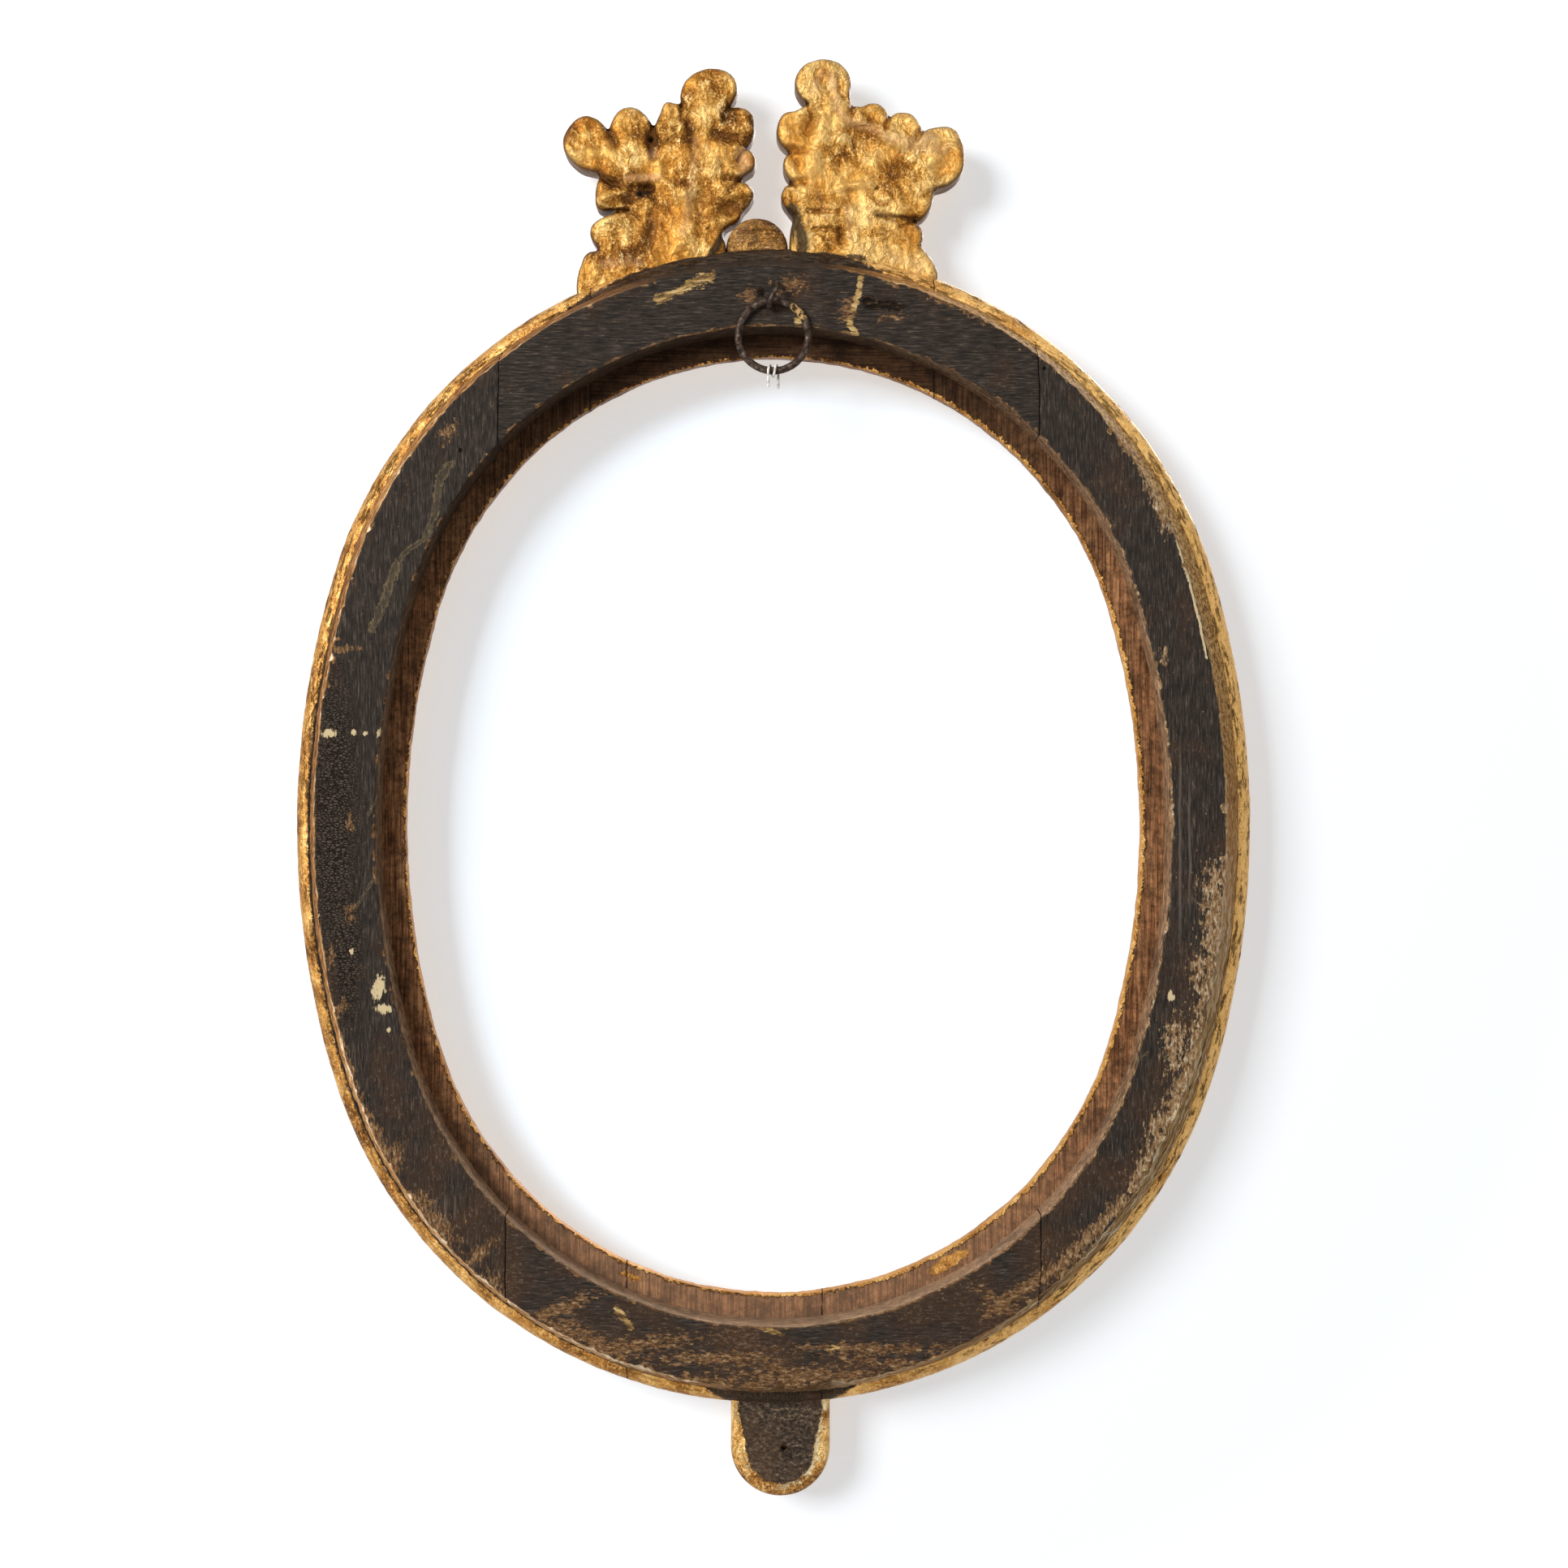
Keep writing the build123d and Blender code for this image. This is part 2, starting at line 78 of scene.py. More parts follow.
class Grain(Enum):
    """Which way a board's grain runs, as how much a pattern is drawn out along X, Y and Z."""

    LEVEL = (1 / 28, 1.0, 1.0)
    UPRIGHT = (1.0, 1.0, 1 / 28)


def linear(colour: str) -> tuple[float, float, float, float]:
    """Turns an sRGB hex colour into linear red, green and blue with an alpha of one."""
    parts = [int(colour[i:i + 2], 16) / 255 for i in (1, 3, 5)]
    return (*(c / 12.92 if c <= 0.04045 else ((c + 0.055) / 1.055) ** 2.4 for c in parts), 1.0)


def per_mm(size: float) -> float:
    """Gives the texture scale at which a pattern repeats about every size millimetres."""
    return 1 / (size * MM)


def clamp(value: float, low: float = 0.0, high: float = 1.0) -> float:
    """Keeps a value between two limits."""
    return min(high, max(low, value))


def feed(tree: NodeTree, node: Node, inputs: Inputs) -> None:
    """Sets or links a node's inputs.

    Args:
        tree: The node's tree.
        node: The node.
        inputs: What the inputs take, in order, or by name or place.
    """
    for key, value in inputs.items() if isinstance(inputs, dict) else enumerate(inputs):
        if isinstance(value, Node):
            value = value.outputs[0]
        if isinstance(value, NodeSocket):
            tree.links.new(value, node.inputs[key])
        else:
            node.inputs[key].default_value = value


def add(tree: NodeTree, kind: str, inputs: Inputs = (), stops: Sequence[tuple[float, str]] = (),
        **settings: object) -> Node:
    """Adds one node with its settings and links.

    Args:
        tree: The material's node tree.
        kind: The node's type without its ShaderNode prefix, and a sum's operation after a dot.
        inputs: What the node's inputs take, in order, or by name or place.
        stops: Places and hex colours, where the node is a colour ramp.
        **settings: The node's own properties.

    Returns:
        The new node.
    """
    kind, *operation = kind.split(".")
    node = tree.nodes.new("ShaderNode" + kind)
    for name, value in (*settings.items(), *(("operation", value) for value in operation)):
        setattr(node, name, value)
    feed(tree, node, inputs)
    for place, (at, colour) in enumerate(stops):
        elements = node.color_ramp.elements
        stop = elements[place] if place < 2 else elements.new(at)
        stop.position, stop.color = at, linear(colour)
    return node


@dataclass(frozen=True)
class Coat:
    """One layer of a surface: its colour, roughness, height in millimetres and share of metal."""

    colour: Feed
    rough: Feed
    height: Feed
    metal: Feed = 0.0

    def under(self, tree: NodeTree, over: "Coat", where: Feed) -> "Coat":
        """Lays another coat over this one.

        Args:
            tree: The material's node tree.
            over: The coat on top.
            where: How much of the upper coat there is, from 0 to 1.

        Returns:
            The two coats as one.
        """
        colour = add(tree, "Mix", {0: where, 6: self.colour, 7: over.colour}, data_type="RGBA")
        rough, height, metal = (
            add(tree, "Mix", {0: where, 2: low, 3: high})
            for low, high in ((self.rough, over.rough), (self.height, over.height), (self.metal, over.metal))
        )
        return Coat(colour.outputs[2], rough, height, metal)

    def material(self, tree: NodeTree) -> None:
        """Joins the coat to the material's shader, its height through a bump."""
        bump = add(tree, "Bump", {"Height": self.height, "Distance": MM, "Strength": 1.0})
        feed(tree, tree.nodes["Principled BSDF"], {
            "Base Color": self.colour, "Roughness": self.rough, "Metallic": self.metal,
            "Specular IOR Level": 0.1, "Normal": bump})


def far_from(spots: np.ndarray, start: np.ndarray, end: np.ndarray) -> np.ndarray:
    """Measures how far many (x, z) points lie from a straight stretch.

    Args:
        spots: The points.
        start: Where the stretch begins.
        end: Where it ends.

    Returns:
        Each point's distance.
    """
    way = end - start
    share = np.clip((spots - start) @ way / max(way @ way, 1e-9), 0, 1)
    return np.hypot(*(spots - start - share[:, None] * way).T)


@dataclass(frozen=True)
class Patch:
    """A mark on the back: its middle, half sizes and turn in degrees, in millimetres from the oval's middle."""

    x: float
    z: float
    half_x: float
    half_z: float
    turn: float = 0.0

    def inside(self, spots: np.ndarray) -> np.ndarray:
        """Says how far inside the mark each of many (x, z) points lies.

        Args:
            spots: The points.

        Returns:
            1 at the mark's middle and 0 at its edge, down to -1.
        """
        cos, sin = math.cos(math.radians(self.turn)), math.sin(math.radians(self.turn))
        x, z = (spots - (self.x, self.z)).T
        far = np.hypot((x * cos - z * sin) / self.half_x, (x * sin + z * cos) / self.half_z)
        return np.clip(1 - far, -1, 1)


@dataclass(frozen=True)
class Stroke:
    """A drip, a gouge cut or a ridge: a line of (x, z) points, its half width and its height in millimetres."""

    points: tuple[Point, ...]
    width: float
    height: float = 1.0

    def far(self, spots: np.ndarray) -> np.ndarray:
        """Measures how far many (x, z) points lie from the line, in half widths."""
        line = np.array(self.points, float)
        return np.min([far_from(spots, *ends) for ends in zip((line[0], *line), line)], axis=0) / self.width

    def height_at(self, spots: np.ndarray) -> np.ndarray:
        """Gives the stroke's height at each of many (x, z) points."""
        return self.height * np.clip(1 - self.far(spots) ** 2, 0, 1) ** 2

    def inside(self, spots: np.ndarray) -> np.ndarray:
        """Says how far inside the stroke each of many (x, z) points lies, like a patch."""
        return np.clip(1 - self.far(spots), -1, 1)


def patch_mask(tree: NodeTree, spot: Feed, patches: Iterable[Patch], ragged: float) -> Node:
    """Makes a mask of several marks with torn edges.

    Args:
        tree: The material's node tree.
        spot: The place on the object, in metres.
        patches: The marks.
        ragged: How far the edges wander, in millimetres.

    Returns:
        A node that gives 1 inside the marks and 0 outside.
    """
    wander = add(tree, "TexNoise", {"Vector": spot, "Scale": per_mm(5), "Detail": 5, "Roughness": 0.7})
    swing = add(tree, "VectorMath.SUBTRACT", (wander.outputs["Color"], (0.5, 0.5, 0.5)))
    shift = add(tree, "VectorMath.SCALE", {0: swing, "Scale": 4 * ragged * MM})
    moved = add(tree, "VectorMath.ADD", (spot, shift))
    nearest = None
    for patch in patches:
        there = add(tree, "Mapping", {
            "Vector": moved, "Location": (patch.x * MM, 0, patch.z * MM),
            "Rotation": (0, math.radians(patch.turn), 0), "Scale": (patch.half_x * MM, 1, patch.half_z * MM),
        }, vector_type="TEXTURE")
        length = add(tree, "VectorMath.LENGTH", (there,)).outputs["Value"]
        nearest = length if nearest is None else add(tree, "Math.MINIMUM", (nearest, length))
    return add(tree, "MapRange", (nearest, 0.85, 1.1, 1.0, 0.0))


@dataclass(frozen=True)
class Gilding:
    """Gold leaf on bole and gesso, old and glazed: amber with painted yellow glints, brown wrinkles, dull rubbed spots,
    and painted shade in hollows and on turned edges.
    """

    brown: str = "#533110"
    amber: str = "#925f22"
    gold: str = "#ba863b"
    pale: str = "#d8ae68"
    glint: str = "#fde0a0"
    rubbed: str = "#c39a74"
    black_and_shade: str = "#2a1d13"
    cloud_mm: float = 18.0
    wrinkle_mm: float = 5.0
    grit_mm: float = 1.0
    burnish: str = "#fae8c2"
    crease: float = 0.65
    speck: float = 0.35
    metal: float = 0.5
    swell: float = 1.8

    def coat(self, tree: NodeTree, spot: Feed) -> Coat:
        """Makes the gilding's coat.

        Args:
            tree: The material's node tree.
            spot: The place on the object, in metres.

        Returns:
            The coat, brown in hollows and on turned edges as painted shade with some grime, and rubbed pale on ridges.
        """
        node = partial(add, tree)
        relief, side, bare, black_and_shade, calm = (
            node("Attribute", attribute_name=name).outputs["Fac"]
            for name in ("relief", "side", "rubbed", "black_and_shade", "calm"))
        lively = node("MapRange", {"Value": calm, 3: 1.0, 4: 0.2})
        drawn = node("Mapping", {"Vector": spot, "Rotation": (0, math.radians(-32), 0), "Scale": (1.0, 1.0, 0.7)})
        cloud = node("TexNoise", {"Vector": spot, "Scale": per_mm(self.cloud_mm), "Detail": 5, "Roughness": 0.55})
        wrinkle = node("TexNoise", {
            "Vector": drawn, "Scale": per_mm(self.wrinkle_mm), "Detail": 5, "Roughness": 0.52,
            "Distortion": 1.4})
        grit = node("TexNoise", {"Vector": spot, "Scale": per_mm(self.grit_mm), "Detail": 4, "Roughness": 0.7})
        evened = node("Mix", {0: lively, 2: 0.66, 3: cloud})
        damped = node("Math.MULTIPLY", (wrinkle, lively))
        mottle = node("Math.MULTIPLY_ADD", (damped, 0.3, evened))
        grain = node("MapRange", (grit, 0.3, 0.7, -0.12, 0.12))
        fleck = node("Math.MULTIPLY_ADD", (grain, lively, mottle))
        # Painted light and shade: the relief attribute makes the tone lighter on raised and lit parts and darker on
        # shaded ones.
        tilted = node("Math.MULTIPLY_ADD", (relief, 0.16, fleck))
        tone = node("ValToRGB", {"Fac": node("MapRange", (tilted, 0.42, 0.88))}, (
            (0.11, self.brown), (0.36, self.amber), (0.54, self.gold), (0.82, self.pale)))
        burnished = node("Mix", {0: calm, 6: tone, 7: linear(self.burnish)},
                         data_type="RGBA", blend_type="MULTIPLY").outputs[2]
        middle = node("Math.SUBTRACT", (wrinkle, 0.47))
        fold = node("Math.ABSOLUTE", (middle,))
        sharp = node("MapRange", (fold, 0.004, 0.026, self.crease, 0.0))
        crease = node("Math.MULTIPLY", (sharp, lively))
        creased = node("Mix", {0: crease, 6: burnished, 7: linear(self.brown)}, data_type="RGBA").outputs[2]
        # Painted glints: pale yellow specks painted into the colour where wrinkles and grit peak, fewer on calm parts.
        spark = node("Math.ADD", (wrinkle, grit))
        flash = node("MapRange", (spark, 1.08, 1.26, 0.0, 0.55))
        shine = node("Math.MULTIPLY", (flash, lively))
        lit = node("Mix", {0: shine, 6: creased, 7: linear(self.glint)}, data_type="RGBA").outputs[2]
        pinhole = node("MapRange", (grit, 0.4, 0.28, 0.0, self.speck))
        speck = node("Math.MULTIPLY", (pinhole, lively))
        gritty = node("Mix", {0: speck, 6: lit, 7: linear(self.brown)}, data_type="RGBA").outputs[2]
        worn = node("Math.MULTIPLY", (bare, mottle))
        rubbed_there = node("MapRange", (worn, 0.2, 0.75, 0.0, 0.5))
        rubbed = node("Mix", {0: rubbed_there, 6: gritty, 7: linear(self.rubbed)}, data_type="RGBA").outputs[2]
        # Painted shade with some grime: brown in carved hollows and on edges that turn away from the back.
        low = node("MapRange", (relief, -0.2, -1.0, 0.0, 0.75))
        edge = node("MapRange", (side, 0.3, 0.9, 0.0, 0.85))
        dark = node("Math.MAXIMUM", (low, edge))
        shaded_and_grimy = node("Mix", {0: dark, 6: rubbed, 7: linear(self.brown)}, data_type="RGBA").outputs[2]
        # Black paint run onto the leaves, and painted shade in deep holes, in grooves and in the gap beside the boss.
        black_and_shade_mask = node("Math.MULTIPLY", (black_and_shade, wrinkle))
        black = node("MapRange", (black_and_shade_mask, 0.18, 0.4, 0.0, 0.9))
        colour = node("Mix", {0: black, 6: shaded_and_grimy, 7: linear(self.black_and_shade)}, data_type="RGBA").outputs[2]
        rough = node("MapRange", (cloud, 0.35, 0.65, 0.5, 0.36))
        shown = node("Math.MAXIMUM", (rubbed_there, black))
        metal = node("MapRange", (shown, 0.0, 0.8, self.metal, 0.1))
        lump = node("Math.MULTIPLY", (grit, 0.2))
        height = node("Math.MULTIPLY_ADD", (damped, self.swell, lump))
        return Coat(colour, rough, height, metal)


@dataclass(frozen=True)
class BlackPaint:
    """Thin black size paint on planed softwood: charcoal along the grain, browner low down, flecked with dust."""

    grain: Grain
    pit: str = "#15110e"
    body: str = "#2a241f"
    bloom: str = "#3e352e"
    rubbed: str = "#6b5d50"
    brown: str = "#47301f"
    dust: str = "#8d7a66"
    streak_mm: float = 0.8
    least_draw: float = 0.1

    def coat(self, tree: NodeTree, spot: Feed) -> Coat:
        """Makes the paint's coat.

        Args:
            tree: The material's node tree.
            spot: The place on the object, in metres.

        Returns:
            The coat.
        """
        node = partial(add, tree)
        drawn = node("Mapping", {"Vector": spot, "Scale": [max(self.least_draw, part) for part in self.grain.value]})
        streak = node("TexNoise", {"Vector": drawn, "Scale": per_mm(self.streak_mm), "Detail": 5, "Roughness": 0.7})
        broad = node("TexNoise", {"Vector": spot, "Scale": per_mm(30), "Detail": 5, "Roughness": 0.6})
        short = node("Mapping", {"Vector": spot, "Scale": [max(0.5, part) for part in self.grain.value]})
        fleck = node("TexNoise", {"Vector": short, "Scale": per_mm(1.5), "Detail": 6, "Roughness": 0.75})
        tone = node("ValToRGB", {"Fac": streak}, (
            (0.34, self.pit), (0.46, self.body), (0.57, self.bloom), (0.7, self.rubbed)))
        up = node("SeparateXYZ", {0: spot}).outputs[2]
        low = node("MapRange", (up, 0.05, -0.27, 0.0, 0.16))
        aged = node("Math.ADD", (broad, low))
        brown = node("MapRange", (aged, 0.54, 0.8, 0.0, 0.85))
        warm = node("Mix", {0: brown, 6: tone, 7: linear(self.brown)}, data_type="RGBA")
        dirt = node("Math.MULTIPLY_ADD", (aged, 0.35, fleck))
        dust = node("MapRange", (dirt, 0.78, 0.93, 0.0, 0.6))
        dusty = node("Mix", {0: dust, 6: warm.outputs[2], 7: linear(self.dust)}, data_type="RGBA")
        rough = node("MapRange", (streak, 0.3, 0.7, 0.45, 0.65))
        grain = node("Math.MULTIPLY", (fleck, 0.3))
        height = node("Math.MULTIPLY_ADD", (streak, 0.6, grain))
        return Coat(dusty.outputs[2], rough, height)


@dataclass(frozen=True)
class BareWood:
    """Unpainted softwood, browned by age: darker late-wood lines along the grain, dull all over."""

    grain: Grain
    dark: str = "#3a2415"
    body: str = "#694a31"
    light: str = "#94704f"
    line_mm: float = 1.6

    def coat(self, tree: NodeTree, spot: Feed) -> Coat:
        """Makes the wood's coat.

        Args:
            tree: The material's node tree.
            spot: The place on the object, in metres.

        Returns:
            The coat.
        """
        node = partial(add, tree)
        drawn = node("Mapping", {"Vector": spot, "Scale": self.grain.value})
        line = node("TexNoise", {"Vector": drawn, "Scale": per_mm(self.line_mm), "Detail": 4, "Roughness": 0.6})
        stain = node("TexNoise", {"Vector": spot, "Scale": per_mm(14), "Detail": 5, "Roughness": 0.65})
        tone = node("ValToRGB", {"Fac": line}, ((0.37, self.dark), (0.5, self.body), (0.64, self.light)))
        soiled = node("MapRange", (stain, 0.48, 0.66, 0.0, 0.65))
        aged = node("Mix", {0: soiled, 6: tone, 7: linear("#2c1c12")}, data_type="RGBA").outputs[2]
        rubbed = node("TexNoise", {"Vector": spot, "Scale": per_mm(4), "Detail": 8, "Roughness": 0.78})
        worn = node("MapRange", (rubbed, 0.38, 0.62, 0.45, 1.55))
        colour = node("VectorMath.SCALE", {0: aged, "Scale": worn})
        height = node("Math.MULTIPLY", (line, 0.4))
        return Coat(colour, 0.7, height)


@dataclass(frozen=True)
class BrokenEdge:
    """Where paint and ground have come off an edge: tan wood, ochre and crumbs of white gesso."""

    wood: str = "#61432a"
    tan: str = "#8c6945"
    ochre: str = "#b4966f"
    gesso: str = "#dfd3bd"
    lump_mm: float = 3.0

    def coat(self, tree: NodeTree, spot: Feed, lift: Feed = 0.0) -> Coat:
        """Makes the broken edge's coat.

        Args:
            tree: The material's node tree.
            spot: The place on the object, in metres.
            lift: How much more gesso shows.

        Returns:
            The coat.
        """
        lump = add(tree, "TexNoise", {"Vector": spot, "Scale": per_mm(self.lump_mm), "Detail": 5, "Roughness": 0.7})
        lifted = add(tree, "Math.ADD", (lump, lift))
        tone = add(tree, "ValToRGB", {"Fac": lifted}, (
            (0.3, "#33200f"), (0.44, self.wood), (0.54, self.tan), (0.64, self.ochre), (0.74, self.gesso)))
        height = add(tree, "Math.MULTIPLY", (lump, 0.9))
        return Coat(tone, 0.75, height)


@dataclass(frozen=True)
class ForgedIron:
    """Hand-forged iron wire, long rusted and handled: near-black brown with a dull grey shine on the high spots."""

    name: str = "forged_iron"

    def material(self) -> Material:
        """Makes the iron's material.

        Returns:
            The material, with the gilder's splash on the ring's side.
        """
        made, tree, spot = new_material(self.name)
        scale = add(tree, "TexNoise", {"Vector": spot, "Scale": per_mm(2.2), "Detail": 5, "Roughness": 0.7})
        tone = add(tree, "ValToRGB", {"Fac": scale}, (
            (0.3, "#1d1510"), (0.46, "#3a2c24"), (0.6, "#564a41"), (0.74, "#8a7f74")))
        rough = add(tree, "MapRange", (scale, 0.35, 0.7, 0.75, 0.42))
        height = add(tree, "Math.MULTIPLY", (scale, 0.4))
        iron = Coat(tone, rough, height, 0.55)
        splash = patch_mask(tree, spot, (Patch(12.4, 248.5, 3.4, 5.0, -38),), ragged=1.4)
        flaky = add(tree, "MapRange", (scale, 0.44, 0.5))
        gilt = add(tree, "Math.MULTIPLY", (splash, flaky))
        iron.under(tree, Coat(linear("#c09a62"), 0.7, height, 0.1), gilt).material(tree)
        return made


@dataclass(frozen=True)
class CottonThread:
    """Undyed cotton, two strands twisted: soft off-white with a slant shade where the strands meet."""

    name: str = "cotton_thread"
    twist_mm: float = 1.6

    def material(self) -> Material:
        """Makes the thread's material.

        Returns:
            The material.
        """
        made, tree, spot = new_material(self.name)
        turned = add(tree, "Mapping", {"Vector": spot, "Rotation": (0, math.radians(35), 0)})
        strand = add(tree, "TexWave", {
            "Vector": turned, "Scale": per_mm(self.twist_mm) / WAVE, "Distortion": 1.5,
        }, bands_direction="Z").outputs["Fac"]
        tone = add(tree, "ValToRGB", {"Fac": strand}, ((0.05, "#cdc6b9"), (0.5, "#f2eee5")))
        height = add(tree, "Math.MULTIPLY", (strand, 0.15))
        Coat(tone, 0.9, height).material(tree)
        return made


def new_material(name: str) -> tuple[Material, NodeTree, NodeSocket]:
    """Starts a material.

    Args:
        name: The material's name.

    Returns:
        The material, its node tree, and the socket that gives the place on the object in metres.
    """
    made = bpy.data.materials.new(name)
    made.use_nodes = True
    spot = add(made.node_tree, "TexCoord").outputs["Object"]
    return made, made.node_tree, spot


def placed(name: str, data: ID) -> Object:
    """Puts an object in the scene.

    Args:
        name: Its name.
        data: Its mesh, curve, lamp or camera.

    Returns:
        The object.
    """
    made = bpy.data.objects.new(name, data)
    bpy.context.scene.collection.objects.link(made)
    return made


def settled(name: str, mesh: BMesh) -> Object:
    """Puts a drawn mesh in the scene.

    Args:
        name: The object's name.
        mesh: The mesh, which is freed.

    Returns:
        The object.
    """
    data = bpy.data.meshes.new(name)
    mesh.to_mesh(data)
    mesh.free()
    return placed(name, data)


def only(kind: type, geometry: Iterable) -> list:
    """Picks the vertices, or the edges, out of what an operator gives back."""
    return [element for element in geometry if isinstance(element, kind)]


def thicken(mesh: BMesh, depth: float) -> None:
    """Pulls a flat outline forward into a block.

    Args:
        mesh: The outline, as one face.
        depth: How thick the block is.
    """
    grown = bmesh.ops.extrude_face_region(mesh, geom=mesh.faces[:])["geom"]
    bmesh.ops.translate(mesh, vec=(0, depth, 0), verts=only(BMVert, grown))
    bmesh.ops.recalc_face_normals(mesh, faces=mesh.faces)


def as_object(name: str, mesh: BMesh, material: Material, body: str,
              stands_for: Sequence[str], sharp: float = 50.0) -> None:
    """Turns a mesh drawn in millimetres into a piece of the frame.

    Args:
        name: The piece's name.
        mesh: The mesh, which is freed.
        material: Its finish.
        body: The moving body that it rides on.
        stands_for: The CAD nodes that it replaces.
        sharp: The least angle of an edge that stays sharp, in degrees.
    """
    bmesh.ops.scale(mesh, vec=(MM, MM, MM), verts=mesh.verts)
    made = settled(name, mesh)
    data = made.data
    data.polygons.foreach_set("use_smooth", [True] * len(data.polygons))
    data.set_sharp_from_angle(angle=math.radians(sharp))
    data.materials.append(material)
    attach(made, body)
    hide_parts(*stands_for)
    LOG.info("%s: %d faces", name, len(data.polygons))


def fused(mesh: BMesh, voxel: float, smoothing: int) -> BMesh:
    """Fuses overlapping closed shells into one skin of even small faces.

    Args:
        mesh: The shells, in millimetres. It is freed.
        voxel: The size of the new faces, in millimetres.
        smoothing: How many times the skin is smoothed.

    Returns:
        The new mesh.
    """
    rough = settled("rough", mesh)
    data = rough.data
    remesh = rough.modifiers.new("skin", "REMESH")
    remesh.mode, remesh.voxel_size = "VOXEL", voxel
    skin = rough.evaluated_get(bpy.context.evaluated_depsgraph_get()).to_mesh()
    made = bmesh.new()
    made.from_mesh(skin)
    bpy.data.objects.remove(rough)
    bpy.data.meshes.remove(data)
    for _ in range(smoothing):
        bmesh.ops.smooth_vert(
            made, verts=made.verts, factor=0.5, use_axis_x=True, use_axis_y=True, use_axis_z=True)
    return made


@dataclass(frozen=True)
class Oval:
    """The sight oval of four arcs, in millimetres, which every ring of the frame follows."""

    half_width: float
    half_height: float
    side_bulge: float = 8.5

    @classmethod
    def inside_rim(cls, rim_edge: float) -> "Oval":
        """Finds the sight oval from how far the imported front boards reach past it, out to the rim's edge."""
        return cls(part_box("front_right")[1].x / MM - rim_edge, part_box("front_top")[1].z / MM - rim_edge)

    @cached_property
    def end_radius(self) -> float:
        """Radius of the top and bottom arcs."""
        return self.half_width - self.side_bulge

    @cached_property
    def end_centre(self) -> float:
        """Height of the top arc's centre."""
        return self.half_height - self.end_radius

    @cached_property
    def side_centre(self) -> float:
        """How far across the middle the side arcs' centres lie."""
        return (self.end_centre ** 2 - self.side_bulge ** 2) / (2 * self.side_bulge)

    @cached_property
    def change_angle(self) -> float:
        """Angle at which a side arc gives way to an end arc."""
        return math.atan2(self.end_centre, self.side_centre)

    def turns(self) -> tuple[tuple[Vector, float], ...]:
        """Gives the way round the oval.

        Returns:
            The centres and angles that carry a section once round from the right-hand side.
        """
        side, end, change = self.side_centre, self.end_centre, self.change_angle
        return (
            (Vector((-side, 0, 0)), change),
            (Vector((0, 0, end)), math.pi - 2 * change),
            (Vector((side, 0, 0)), 2 * change),
            (Vector((0, 0, -end)), math.pi - 2 * change),
            (Vector((-side, 0, 0)), change),
        )

    def outward(self, spot: Vector) -> tuple[float, Vector]:
        """Measures a point from the sight edge.

        Args:
            spot: The point.

        Returns:
            Its distance outside the sight edge, and the way outward there.
        """
        if math.atan2(abs(spot.z), abs(spot.x) + self.side_centre) < self.change_angle:
            arm = Vector((spot.x + math.copysign(self.side_centre, spot.x), 0, spot.z))
            return arm.length - self.half_width - self.side_centre, arm.normalized()
        arm = Vector((spot.x, 0, spot.z - math.copysign(self.end_centre, spot.z)))
        return arm.length - self.end_radius, arm.normalized()


